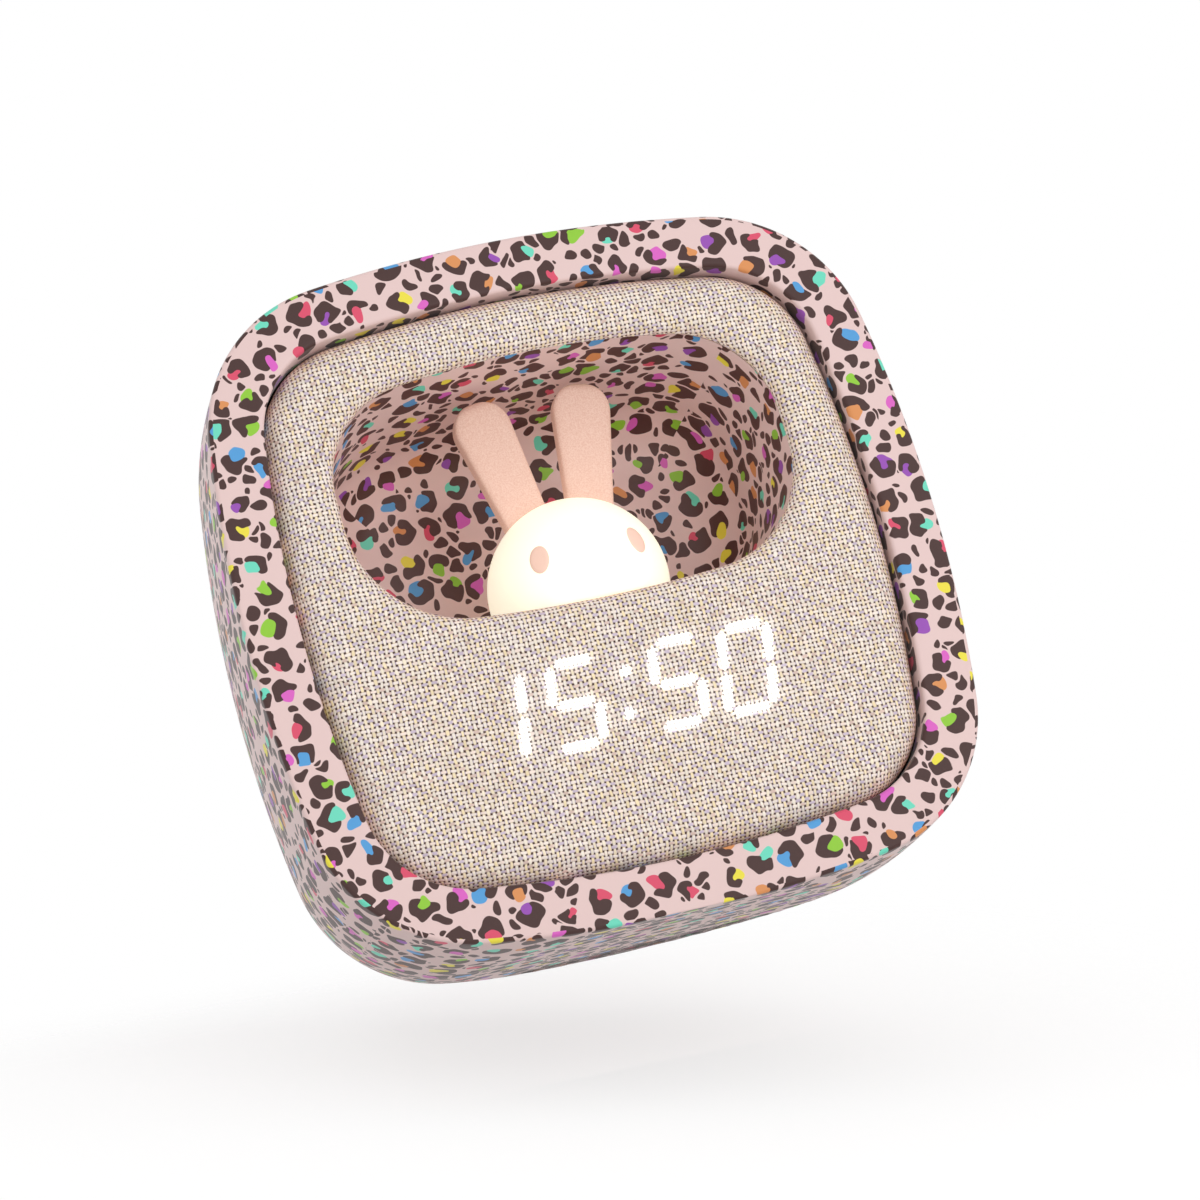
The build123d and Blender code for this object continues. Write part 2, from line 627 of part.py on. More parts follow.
with BuildPart() as rabbit_eyes:
    add(eye_pockets.part)
    with Locations(HEAD_CENTRE):
        Sphere(HEAD_RADIUS + 0.05, mode=Mode.INTERSECT)


def ear(side):
    """Flat paddle of an ear, with rounded edges and a tenon that plugs into the head."""
    with BuildPart(mode=Mode.PRIVATE) as paddle:
        with BuildSketch(at_depth(HEAD_DEPTH + EAR_THICK / 2)):
            with Locations((side * EAR_BASE[0], EAR_BASE[1])):
                Circle(EAR_BASE_RADIUS)
            with Locations((side * EAR_TIP[0], EAR_TIP[1])):
                Circle(EAR_TIP_RADIUS)
            make_hull()
        extrude(amount=EAR_THICK)
        fillet(paddle.faces().filter_by(TOWARDS_VIEWER).edges(), EAR_ROUND)
        with Locations(HEAD_CENTRE):
            Sphere(HEAD_RADIUS, mode=Mode.SUBTRACT)
        with BuildSketch(deck(HEAD_HEIGHT + HEAD_RADIUS - 2.6)):
            with Locations((side * EAR_BASE[0], HEAD_DEPTH)):
                Rectangle(*TENON)
        extrude(amount=4)
    return paddle.part


with BuildPart() as left_ear:
    add(ear(-1))

with BuildPart() as right_ear:
    add(ear(1))

# ================================================================ lamp
with BuildPart() as lamp_reflector:
    with BuildSketch(deck(LAMP_BOARD_TOP)):
        with Locations((0, HEAD_DEPTH)):
            Circle(REFLECTOR_RADIUS)
    extrude(amount=LINER_FLOOR - LINER_WALL - LAMP_BOARD_TOP)
    with BuildSketch(deck(LAMP_BOARD_TOP)):
        with Locations((0, HEAD_DEPTH)):
            Circle(REFLECTOR_MOUTH)
    with BuildSketch(deck(LINER_FLOOR - LINER_WALL)):
        with Locations((0, HEAD_DEPTH)):
            Circle(SPIGOT_RADIUS)
    loft(mode=Mode.SUBTRACT)

with BuildPart() as lamp_board:
    with BuildSketch(deck(LAMP_BOARD_TOP)):
        with Locations((0, LAMP_BOARD_DEPTH)):
            RectangleRounded(LAMP_BOARD[0], LAMP_BOARD[1], 1.5)
        with Locations((-LAMP_POST_X, LAMP_BOARD_DEPTH), (LAMP_POST_X, LAMP_BOARD_DEPTH)):
            Circle(SCREW_RADIUS + HOLE_GAP, mode=Mode.SUBTRACT)
    extrude(amount=-LAMP_BOARD[2])

with BuildPart() as lamp_leds:
    with BuildSketch(deck(LAMP_BOARD_TOP)):
        with Locations((0, HEAD_DEPTH)):
            with PolarLocations(3.4, 3):
                Rectangle(LAMP_LED[0], LAMP_LED[1])
    extrude(amount=LAMP_LED[2])

# ================================================================ display
# Mask: opaque block with a light well for every segment, and a flange behind the panel
with BuildPart() as display_mask:
    with BuildSketch(at_depth(MASK_BACK)):
        with Locations((DISPLAY_MIDDLE, DISPLAY_HEIGHT)):
            RectangleRounded(*MASK_SIZE, 0.9)
    extrude(amount=MASK_BACK - MASK_FRONT)
    with BuildSketch(at_depth(PANEL_BACK + MASK_FLANGE[2])):
        with Locations((DISPLAY_MIDDLE, DISPLAY_HEIGHT)):
            flange_width = MASK_SIZE[0] + 2 * MASK_FLANGE[0]
            flange_height = MASK_SIZE[1] + 2 * MASK_FLANGE[1]
            RectangleRounded(flange_width, flange_height, 1.2)
    extrude(amount=MASK_FLANGE[2])
    with BuildSketch(at_depth(MASK_BACK)):
        add(all_segments())
    extrude(amount=MASK_BACK, mode=Mode.SUBTRACT)

# Light windows: milky plugs in the front of the wells
with BuildPart() as display_segments:
    with BuildSketch(at_depth(MASK_FRONT + SEGMENT_DEPTH)):
        add(all_segments())
    extrude(amount=SEGMENT_DEPTH)

with BuildPart() as display_board:
    with BuildSketch(at_depth(MASK_BACK + DISPLAY_BOARD[2])):
        with Locations((DISPLAY_MIDDLE, DISPLAY_HEIGHT)):
            RectangleRounded(DISPLAY_BOARD[0], DISPLAY_BOARD[1], 1.5)
        with Locations(
            (DISPLAY_MIDDLE - DISPLAY_POST_X, DISPLAY_HEIGHT),
            (DISPLAY_MIDDLE + DISPLAY_POST_X, DISPLAY_HEIGHT),
        ):
            Circle(SCREW_RADIUS + HOLE_GAP, mode=Mode.SUBTRACT)
    extrude(amount=DISPLAY_BOARD[2])

with BuildPart() as display_leds:
    with BuildSketch(at_depth(MASK_BACK)):
        for middle in DIGIT_MIDDLES:
            with Locations(
                slanted(middle, 0, -DIGIT_RISE),
                slanted(middle, 0, 0),
                slanted(middle, 0, DIGIT_RISE),
            ):
                Rectangle(1.6, 0.8)
            with Locations(
                slanted(middle, -DIGIT_REACH, -DIGIT_RISE / 2),
                slanted(middle, -DIGIT_REACH, DIGIT_RISE / 2),
                slanted(middle, DIGIT_REACH, -DIGIT_RISE / 2),
                slanted(middle, DIGIT_REACH, DIGIT_RISE / 2),
            ):
                Rectangle(0.8, 1.6)
        with Locations(
            slanted(COLON_MIDDLE, 0, DIGIT_RISE / 2),
            slanted(COLON_MIDDLE, 0, -DIGIT_RISE / 2),
        ):
            Rectangle(1.2, 0.8)
    extrude(amount=0.6)

# ================================================================ back
# Back cover: plate with buttons, switch slot, charging port, reset hole and speaker grille
GRILLE_REACH = int(GRILLE_RADIUS / GRILLE_PITCH)
GRILLE_XS = [GRILLE_PITCH * step for step in range(-GRILLE_REACH, GRILLE_REACH + 1)]
with BuildPart() as back_cover:
    with BuildSketch(at_depth(COVER_FACE)):
        add(bowed_square(BACK_OPENING / FACE_HALF, COVER_GAP))
    extrude(amount=COVER_FACE - COVER_SEAT)
    fillet(back_cover.faces().sort_by(TOWARDS_VIEWER)[0].edges(), 0.4)
    # locating rim inside the opening of the shell
    with BuildSketch(at_depth(COVER_SEAT)):
        add(bowed_square(SHELL_OPENING / FACE_HALF, 0.2))
        add(bowed_square(SHELL_OPENING / FACE_HALF, 0.2 + COVER_RIM), mode=Mode.SUBTRACT)
    extrude(amount=1.8)
    with BuildSketch(at_depth(COVER_SEAT)):
        with Locations((0, SPEAKER_HEIGHT)):
            Circle(SPEAKER_RADIUS + 0.9)
            Circle(SPEAKER_RADIUS + SPEAKER_SEAT, mode=Mode.SUBTRACT)
        add(bowed_square(SHELL_OPENING / FACE_HALF, 0.2), mode=Mode.INTERSECT)
    extrude(amount=1.6)
    with BuildSketch(at_depth(COVER_SEAT)):
        with Locations(*STANDOFFS):
            Circle(STANDOFF_RADIUS)
    extrude(amount=STANDOFF_LENGTH)
    with BuildSketch(at_depth(COVER_SEAT - 2)):
        with Locations(*STANDOFFS):
            Circle(SCREW_RADIUS)
    extrude(amount=STANDOFF_LENGTH, mode=Mode.SUBTRACT)
    # seat of the speaker
    with BuildSketch(at_depth(COVER_SEAT)):
        with Locations((0, SPEAKER_HEIGHT)):
            Circle(SPEAKER_RADIUS + SPEAKER_SEAT)
    extrude(amount=2, mode=Mode.SUBTRACT)
    with BuildSketch(at_depth(COVER_FACE + 1)):
        with Locations(*[(x, BUTTON_HEIGHT) for x in BUTTON_XS]):
            Circle(BUTTON_RADIUS + BUTTON_GAP)
        for x in GRILLE_XS:
            with Locations(Location((x, SPEAKER_HEIGHT), 90)):
                SlotOverall(2 * sqrt(GRILLE_RADIUS**2 - x**2), GRILLE_SLOT)
        with Locations(SWITCH_AT):
            slot_length = KNOB_SIZE[0] + SWITCH_TRAVEL + 2 * BUTTON_GAP
            SlotOverall(slot_length, KNOB_SIZE[1] + 2 * BUTTON_GAP)
        with Locations(USB_AT):
            RectangleRounded(USB_SIZE[0] + 2 * COVER_GAP, USB_SIZE[1] + 2 * COVER_GAP, 1.8)
        with Locations(RESET_AT):
            Circle(0.8)
        with GridLocations(2 * COVER_SCREW, 2 * COVER_SCREW, 2, 2):
            Circle(SCREW_RADIUS + HOLE_GAP)
    extrude(amount=4, mode=Mode.SUBTRACT)
    with BuildSketch(at_depth(COVER_FACE + 1)):
        with GridLocations(2 * COVER_SCREW, 2 * COVER_SCREW, 2, 2):
            Circle(SCREW_HEAD + 0.2)
    extrude(amount=1 + SCREW_HEAD_HEIGHT, mode=Mode.SUBTRACT)

with BuildPart() as set_button:
    add(back_button(BUTTON_XS[0]))

with BuildPart() as minus_button:
    add(back_button(BUTTON_XS[1]))

with BuildPart() as plus_button:
    add(back_button(BUTTON_XS[2]))

with BuildPart() as alarm_button:
    add(back_button(BUTTON_XS[3]))

# Alarm switch: a nub in the slot, a flange behind the cover and a stem into the switch body
with BuildPart() as alarm_switch_knob:
    with BuildSketch(at_depth(COVER_FACE + 0.5)):
        with Locations((KNOB_X, SWITCH_AT[1])):
            RectangleRounded(*KNOB_SIZE, 0.6)
    extrude(amount=COVER_FACE + 0.5 - (COVER_SEAT - 1))
    with BuildSketch(at_depth(COVER_SEAT - BUTTON_GAP)):
        with Locations((KNOB_X, SWITCH_AT[1])):
            Rectangle(KNOB_SIZE[0] + 3.6, KNOB_SIZE[1] + 2.0)
    extrude(amount=1.0)
    with BuildSketch(at_depth(COVER_SEAT - 1.0)):
        with Locations((KNOB_X, SWITCH_AT[1])):
            Rectangle(SLIDER_STEM, SLIDER_STEM)
    extrude(amount=COVER_SEAT - 1.0 - MAIN_BOARD_BACK - SLIDER_HEIGHT + 1.2)

# ================================================================ electronics on the back
with BuildPart() as main_board:
    with BuildSketch(at_depth(MAIN_BOARD_BACK)):
        with Locations((0, MAIN_BOARD_HEIGHT)):
            RectangleRounded(*MAIN_BOARD, 1.5)
        with Locations(*STANDOFFS):
            Circle(SCREW_RADIUS + HOLE_GAP, mode=Mode.SUBTRACT)
    extrude(amount=BOARD_THICK)

with BuildPart() as tact_switches:
    with BuildSketch(at_depth(MAIN_BOARD_BACK + TACT_HEIGHT)):
        with Locations(*[(x, BUTTON_HEIGHT) for x in BUTTON_XS]):
            Rectangle(TACT_SIZE, TACT_SIZE)
    extrude(amount=TACT_HEIGHT)
    with BuildSketch(at_depth(PLUNGER_TOP)):
        with Locations(*[(x, BUTTON_HEIGHT) for x in BUTTON_XS]):
            Circle(PLUNGER_RADIUS)
    extrude(amount=PLUNGER_TOP - MAIN_BOARD_BACK - TACT_HEIGHT)

with BuildPart() as slide_switch:
    with BuildSketch(at_depth(MAIN_BOARD_BACK + SLIDER_HEIGHT)):
        with Locations(SWITCH_AT):
            Rectangle(SWITCH_TRAVEL + 6.6, 4.4)
    extrude(amount=SLIDER_HEIGHT)
    with BuildSketch(at_depth(MAIN_BOARD_BACK + SLIDER_HEIGHT)):
        with Locations(SWITCH_AT):
            Rectangle(SLIDER_STEM + SWITCH_TRAVEL + 0.8, SLIDER_STEM + 0.8)
    extrude(amount=2.0, mode=Mode.SUBTRACT)

with BuildPart() as usb_socket:
    with BuildSketch(at_depth(COVER_SEAT)):
        with Locations(USB_AT):
            RectangleRounded(*USB_SIZE, 1.5)
    extrude(amount=STANDOFF_LENGTH)
    with BuildSketch(at_depth(COVER_SEAT)):
        with Locations(USB_AT):
            RectangleRounded(USB_SIZE[0] - 0.7, USB_SIZE[1] - 0.7, 1.15)
            Rectangle(USB_SIZE[0] - 2.4, 0.7, mode=Mode.SUBTRACT)
    extrude(amount=5.5, mode=Mode.SUBTRACT)

with BuildPart() as board_chips:
    with BuildSketch(at_depth(MAIN_BOARD_FRONT)):
        with Locations((2.5, MAIN_BOARD_HEIGHT + 0.4)):
            Rectangle(7, 7)
        with Locations((-7, MAIN_BOARD_HEIGHT + 2.4)):
            Rectangle(5, 6)
        with Locations((12, MAIN_BOARD_HEIGHT + 0.4)):
            Rectangle(3, 5)
    extrude(amount=1.1)
    with BuildSketch(at_depth(MAIN_BOARD_FRONT)):
        with Locations((-13.5, MAIN_BOARD_HEIGHT + 0.9)):
            Circle(3)
    extrude(amount=6)

# ================================================================ speaker
with BuildPart() as speaker_gasket:
    with BuildSketch(at_depth(COVER_SEAT)):
        with Locations((0, SPEAKER_HEIGHT)):
            Circle(SPEAKER_RADIUS)
            Circle(0.85 * SPEAKER_RADIUS, mode=Mode.SUBTRACT)
    extrude(amount=GASKET)

SPEAKER_AXIS = Axis(at(0, SPEAKER_HEIGHT, 0), FRONT.z_dir)


def speaker_point(depth, share):
    """Point of the speaker's section, this far behind its rim and at a share of its radius."""
    return (CONE_FRONT - depth, SPEAKER_HEIGHT + share * SPEAKER_RADIUS)


with BuildPart() as speaker_frame:
    with BuildSketch(flank(0)):
        with BuildLine():
            Polyline(
                speaker_point(0, 1),
                speaker_point(0, 0.85),
                speaker_point(1.0, 0.85),
                speaker_point(4.9, 0.57),
                speaker_point(4.9, 0.32),
                speaker_point(5.9, 0.32),
                speaker_point(5.9, 0.62),
                speaker_point(1.8, 0.92),
                speaker_point(1.8, 1),
                close=True,
            )
        make_face()
    revolve(axis=SPEAKER_AXIS)

with BuildPart() as speaker_magnet:
    with BuildSketch(at_depth(CONE_FRONT - 5.9)):
        with Locations((0, SPEAKER_HEIGHT)):
            Circle(0.65 * SPEAKER_RADIUS)
    extrude(amount=4.5)
    fillet(speaker_magnet.faces().sort_by(TOWARDS_VIEWER)[-1].edges(), 0.5)

with BuildPart() as speaker_cone:
    with BuildSketch(flank(0)):
        with BuildLine():
            Polyline(
                speaker_point(1.0, 0.85),
                speaker_point(0.6, 0.85),
                speaker_point(0.2, 0.76),
                speaker_point(0.6, 0.68),
                speaker_point(3.4, 0.27),
                speaker_point(2.4, 0),
                speaker_point(2.8, 0),
                speaker_point(3.8, 0.24),
                speaker_point(4.9, 0.24),
                speaker_point(4.9, 0.31),
                speaker_point(3.8, 0.31),
                speaker_point(1.0, 0.72),
                speaker_point(0.6, 0.76),
                close=True,
            )
        make_face()
    revolve(axis=SPEAKER_AXIS)

# ================================================================ battery
# The cell lies across the body, low down, in a cradle on the flat floor of the shell
SHELL_FLOOR = SLEEVE_WALL + SHELL_WALL
CELL_Z = SHELL_FLOOR + CRADLE_FLOOR + CELL_RADIUS
CELL_HEIGHT = (CELL_Z - FRONT.origin.Z + CELL_DEPTH * sin(LEAN_ANGLE)) / cos(LEAN_ANGLE)
CELL_Y = at(0, CELL_HEIGHT, CELL_DEPTH).Y
CELL_AXIS = Plane(origin=(0, CELL_Y, CELL_Z), x_dir=(0, 1, 0), z_dir=(1, 0, 0))
with BuildPart() as battery:
    with BuildSketch(CELL_AXIS.offset(-CELL_LENGTH / 2)):
        Circle(CELL_RADIUS)
    extrude(amount=CELL_LENGTH)
    chamfer(battery.edges().filter_by(GeomType.CIRCLE), 0.5)
    with BuildSketch(CELL_AXIS.offset(CELL_LENGTH / 2)):
        Circle(3)
    extrude(amount=0.8)

with BuildPart() as battery_cradle:
    with BuildSketch(CELL_AXIS.offset(-CRADLE_LENGTH / 2)):
        with Locations((0, SHELL_FLOOR - CELL_Z)):
            Rectangle(
                2 * (CELL_RADIUS + CRADLE_WALL),
                CELL_Z - SHELL_FLOOR + CRADLE_ARM,
                align=(Align.CENTER, Align.MIN),
            )
        Circle(CELL_RADIUS, mode=Mode.SUBTRACT)
    extrude(amount=CRADLE_LENGTH)
    # the snap arms are open in the middle
    with BuildSketch(Plane.XY.offset(CELL_Z)):
        with Locations((0, CELL_Y)):
            Rectangle(CRADLE_LENGTH - 14, 4 * CELL_RADIUS)
    extrude(amount=2 * CRADLE_ARM, mode=Mode.SUBTRACT)

# ================================================================ wires
def lead(*route, bend=5.0):
    """Round wire along straight runs joined by arcs, through points given on the face."""
    points = [at(*point) for point in route]
    with BuildPart(mode=Mode.PRIVATE) as wire:
        with BuildLine():
            path = FilletPolyline(*points, radius=bend)
        with BuildSketch(Plane(origin=path @ 0, z_dir=path % 0)):
            Circle(LEAD_RADIUS)
        sweep()
    return wire.part


END_X = CELL_LENGTH / 2 + 1.4
with BuildPart() as battery_leads:
    for side in (-1, 1):
        battery_lead = lead(
            (side * END_X, CELL_HEIGHT + 3, CELL_DEPTH),
            (side * END_X, CELL_HEIGHT + 13, CELL_DEPTH + 5),
            (side * (END_X - 6.9), MAIN_BOARD_LOW - 6.6, MAIN_BOARD_FRONT - 12),
            (side * 14, MAIN_BOARD_LOW + 4.4, MAIN_BOARD_FRONT - 8),
            (side * 14, MAIN_BOARD_LOW + 4.4, MAIN_BOARD_FRONT),
            bend=3.5,
        )
        add(battery_lead)

with BuildPart() as speaker_leads:
    for share in (0.68, 0.48):
        x = share * SPEAKER_RADIUS
        rim_y = SPEAKER_HEIGHT + sqrt((SPEAKER_RADIUS - 0.4) ** 2 - x**2)
        speaker_lead = lead(
            (x, rim_y, CONE_FRONT - 1.8),
            (x, rim_y, MAIN_BOARD_FRONT - 4),
            (x, MAIN_BOARD_LOW - 1.6, MAIN_BOARD_FRONT - 7.5),
            (x, MAIN_BOARD_LOW + 3.0, MAIN_BOARD_FRONT - 6.5),
            (x, MAIN_BOARD_LOW + 3.0, MAIN_BOARD_FRONT),
            bend=1.8,
        )
        add(speaker_lead)

LAMP_BOARD_LOW = LAMP_BOARD_TOP - LAMP_BOARD[2]
with BuildPart() as lamp_leads:
    for x in (-3.0, 3.0):
        lamp_lead = lead(
            (x, LAMP_BOARD_LOW, LAMP_BOARD_DEPTH + 6.5),
            (x, LAMP_BOARD_LOW - 3.0, LAMP_BOARD_DEPTH + 6.5),
            (x, LAMP_BOARD_LOW - 3.0, MAIN_BOARD_FRONT - 25),
            (x, MAIN_BOARD_LOW - 6.6, MAIN_BOARD_FRONT - 14),
            (x, MAIN_BOARD_LOW + 5.4, MAIN_BOARD_FRONT - 10),
            (x, MAIN_BOARD_LOW + 5.4, MAIN_BOARD_FRONT),
            bend=2.2,
        )
        add(lamp_lead)

# Flat ribbon from the display to the board
RIBBON_LOW = DISPLAY_HEIGHT + 2.6
RIBBON_HIGH = RIBBON_LOW + RIBBON[1]
with BuildPart() as display_ribbon:
    with BuildSketch(flank(-14)):
        with BuildLine():
            Polyline(
                (MASK_BACK + DISPLAY_BOARD[2], RIBBON_LOW + 0.6),
                (14.0, RIBBON_LOW),
                (MAIN_BOARD_FRONT - 23, RIBBON_LOW),
                (MAIN_BOARD_FRONT - 9, MAIN_BOARD_LOW - 6.6),
                (MAIN_BOARD_FRONT - 6.5, MAIN_BOARD_LOW + 2.6),
                (MAIN_BOARD_FRONT, MAIN_BOARD_LOW + 2.6),
                (MAIN_BOARD_FRONT, MAIN_BOARD_LOW + 2.6 + RIBBON[1]),
                (MAIN_BOARD_FRONT - 6.8, MAIN_BOARD_LOW + 2.6 + RIBBON[1]),
                (MAIN_BOARD_FRONT - 9.3, MAIN_BOARD_LOW - 6.3),
                (MAIN_BOARD_FRONT - 23.1, RIBBON_HIGH),
                (14.0, RIBBON_HIGH),
                (MASK_BACK + DISPLAY_BOARD[2], RIBBON_HIGH + 0.6),
                close=True,
            )
        make_face()
    extrude(amount=RIBBON[0])

# ================================================================ fasteners
with BuildPart() as small_screws:
    for x, y in STANDOFFS:
        add(screw(Plane(origin=at(x, y, MAIN_BOARD_FRONT), z_dir=FRONT.z_dir)))
    for x, y in LUG_XY:
        add(screw(Plane(origin=at(x, y, RING_DEPTH + LUG_THICK), z_dir=-FRONT.z_dir)))
    for x in (DISPLAY_MIDDLE - DISPLAY_POST_X, DISPLAY_MIDDLE + DISPLAY_POST_X):
        seat = at(x, DISPLAY_HEIGHT, MASK_BACK + DISPLAY_BOARD[2])
        add(screw(Plane(origin=seat, z_dir=-FRONT.z_dir)))

with BuildPart() as lamp_screws:
    for x in (-LAMP_POST_X, LAMP_POST_X):
        seat = at(x, LAMP_BOARD_LOW, LAMP_BOARD_DEPTH)
        add(screw(Plane(origin=seat, z_dir=-FRONT.y_dir), length=4.0))

with BuildPart() as cover_screws:
    for x in (-COVER_SCREW, COVER_SCREW):
        for y in (-COVER_SCREW, COVER_SCREW):
            seat = at(x, y, COVER_FACE - SCREW_HEAD_HEIGHT)
            add(screw(Plane(origin=seat, z_dir=-FRONT.z_dir), length=8.0))

# ================================================================ labels and files
PIECES = {
    "silicone_sleeve": silicone_sleeve,
    "inner_shell": inner_shell,
    "front_panel": front_panel,
    "fabric_cover": fabric_cover,
    "recess_liner": recess_liner,
    "rabbit_head": rabbit_head,
    "rabbit_eyes": rabbit_eyes,
    "left_ear": left_ear,
    "right_ear": right_ear,
    "lamp_reflector": lamp_reflector,
    "lamp_board": lamp_board,
    "lamp_leds": lamp_leds,
    "display_mask": display_mask,
    "display_segments": display_segments,
    "display_board": display_board,
    "display_leds": display_leds,
    "back_cover": back_cover,
    "set_button": set_button,
    "minus_button": minus_button,
    "plus_button": plus_button,
    "alarm_button": alarm_button,
    "alarm_switch_knob": alarm_switch_knob,
    "main_board": main_board,
    "tact_switches": tact_switches,
    "slide_switch": slide_switch,
    "usb_socket": usb_socket,
    "board_chips": board_chips,
    "speaker_gasket": speaker_gasket,
    "speaker_frame": speaker_frame,
    "speaker_magnet": speaker_magnet,
    "speaker_cone": speaker_cone,
    "battery": battery,
    "battery_cradle": battery_cradle,
    "battery_leads": battery_leads,
    "speaker_leads": speaker_leads,
    "lamp_leads": lamp_leads,
    "display_ribbon": display_ribbon,
    "small_screws": small_screws,
    "lamp_screws": lamp_screws,
    "cover_screws": cover_screws,
}

os.makedirs("parts", exist_ok=True)
for name, piece in PIECES.items():
    piece.part.label = name
    export_step(piece.part, f"parts/{name}.step")
    print(f"{name:20s} solids {len(piece.part.solids()):3d}  volume {piece.part.volume:10.1f}")

whole = Compound(children=[piece.part for piece in PIECES.values()])
box = whole.bounding_box()
print("box", box.min, box.max)
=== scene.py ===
# %% [markdown]
# # An alarm clock with a night light
#
# The clock is a soft square block in a printed silicone sleeve. Its front is a cushion of woven
# cloth with a window, and a little rabbit glows in the window above four glowing digits.
# The solid model gives every piece its place, so this lesson is about three things: smooth skins
# for the curved pieces, patterns that are worked out by nodes, and plain studio light.

# %% Frame of the packed model
from math import atan, atan2, cos, pi, radians, sin, sqrt, tan

import bpy
import numpy as np
from mathutils import Matrix, Vector


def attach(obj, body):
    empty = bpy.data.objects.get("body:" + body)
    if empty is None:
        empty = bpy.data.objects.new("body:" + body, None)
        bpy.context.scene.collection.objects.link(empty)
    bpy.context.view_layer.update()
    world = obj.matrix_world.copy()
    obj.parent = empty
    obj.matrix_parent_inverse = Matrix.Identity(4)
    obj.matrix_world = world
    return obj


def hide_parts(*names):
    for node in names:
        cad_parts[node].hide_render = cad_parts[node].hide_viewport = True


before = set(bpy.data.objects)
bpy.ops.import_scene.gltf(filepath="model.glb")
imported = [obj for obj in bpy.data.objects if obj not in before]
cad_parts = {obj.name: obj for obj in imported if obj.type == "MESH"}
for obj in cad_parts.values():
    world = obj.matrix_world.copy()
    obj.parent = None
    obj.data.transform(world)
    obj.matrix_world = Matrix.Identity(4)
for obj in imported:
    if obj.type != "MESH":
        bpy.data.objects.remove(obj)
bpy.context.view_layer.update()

# %% [markdown]
# ## Drawing on a leaning face
#
# The face of the clock leans back, and nearly everything is drawn on it. Pieces could be drawn
# upright and turned afterwards, but then each would need its own turn. Here x runs to the right,
# y up the face and depth straight back into the body, and one helper carries such points into
# the world. So all sizes below are plain millimetres on the face.

# %% Sizes of the body
METRE = 1000
LEAN = radians(6.5)
FACE_HALF = 52.0
BACK_HALF = 36.87
TAPER_POWER = 2.5
SIDE_RADIUS = 206.0
CORNER_RADIUS = 23.2
BODY_DEPTH = 72.0
BACK_ROUND = 8.0
FOOT_CUT = 0.3
FRONT_Y = -34.69
FRONT_Z = FACE_HALF * cos(LEAN) - FOOT_CUT


def to_world(points):
    """Carries rows of x, y, depth on the face, in millimetres, to metres in the world."""
    points = np.asarray(points, dtype=float)
    x, y, depth = points[..., 0], points[..., 1], points[..., 2]
    world_y = FRONT_Y + y * sin(LEAN) + depth * cos(LEAN)
    world_z = FRONT_Z + y * cos(LEAN) - depth * sin(LEAN)
    return np.stack([x, world_y, world_z], axis=-1) / METRE


def taper(depth):
    """Share of the face size that is left at a depth."""
    return 1 - (1 - BACK_HALF / FACE_HALF) * (depth / BODY_DEPTH) ** TAPER_POWER


print("middle of the face", to_world([0, 0, 0]).round(4))

# %% [markdown]
# ## Outlines as chains of arcs
#
# Both main outlines, the bowed square of the body and the tub of the window, are arcs that meet
# smoothly. They could be drawn as free curves, but a chain of centres, radii and angles is drawn
# in or grown just by changing its radii, and its points stay in step from one section to the
# next. That is what a clean skin needs, so no section is ever drawn by hand.

# %% Arc chains
def walk(arcs, inset=0.0):
    """Points and outward normals along a closed chain of (x, y, radius, start, end, count)."""
    points, normals = [], []
    for x, y, radius, start, end, count in arcs:
        angles = start + (end - start) * (np.arange(count) / count)
        normal = np.stack([np.cos(angles), np.sin(angles)], axis=-1)
        points.append(np.array([x, y]) + (radius - inset) * normal)
        normals.append(normal)
    return np.concatenate(points), np.concatenate(normals)


def bowed_square(scale=1.0, side_count=36, corner_count=28):
    """Outline of the clock: four bowed sides and four round corners."""
    gap = (SIDE_RADIUS - FACE_HALF) * scale
    reach = (SIDE_RADIUS - CORNER_RADIUS) * scale
    corner = (sqrt(2 * reach**2 - gap**2) - gap) / 2
    half_side = atan2(corner, corner + gap)
    side_radius, corner_radius = SIDE_RADIUS * scale, CORNER_RADIUS * scale
    arcs = []
    for quarter in range(4):
        angle = quarter * pi / 2
        c, s = cos(angle), sin(angle)
        start, end = angle - half_side, angle + half_side
        arcs.append((-gap * c, -gap * s, side_radius, start, end, side_count))
        corner_x, corner_y = corner * (c - s), corner * (c + s)
        start, end = angle + half_side, angle + pi / 2 - half_side
        arcs.append((corner_x, corner_y, corner_radius, start, end, corner_count))
    return arcs


outline_points, _ = walk(bowed_square())
print("reach of the outline", outline_points.max(axis=0).round(2))

# %% Round corners between two arcs
def bow_radius(half_width, bow):
    """Radius of an arc over a chord of twice half_width that rises by bow."""
    return (half_width**2 + bow**2) / (2 * bow)


def between(first, second, radius, near):
    """Centre of a round corner between two arcs, on the side of the point near."""
    (x0, y0, r0), (x1, y1, r1) = first, second
    a, b = r0 - radius, r1 - radius
    dx, dy = x1 - x0, y1 - y0
    span = sqrt(dx * dx + dy * dy)
    along = (a * a - b * b + span * span) / (2 * span)
    off = sqrt(max(a * a - along * along, 0))
    both = []
    for sign in (-1, 1):
        x = x0 + along * dx / span - sign * off * dy / span
        y = y0 + along * dy / span + sign * off * dx / span
        both.append((x, y))
    return min(both, key=lambda p: (p[0] - near[0]) ** 2 + (p[1] - near[1]) ** 2)


print("radius of a bow of 1 over 20", bow_radius(10, 1))

# %% The tub outline of the window and the recess
WINDOW_HALF = 33.8
WINDOW_TOP = 34.8
WINDOW_BOTTOM = -4.2
WINDOW_FLOOR_BOW = 2.7
LEAST_BOW = 0.04
TOP_BOW = 3.7
SIDE_BOW = 1.2
TOP_ROUND = 15.0
FLOOR_ROUND = 17.0
CORNER_GUESS = 9
SIDE_POINTS = 14
CORNER_POINTS = 22
LEVEL_POINTS = 60
ANGLE_SLACK = 1e-6


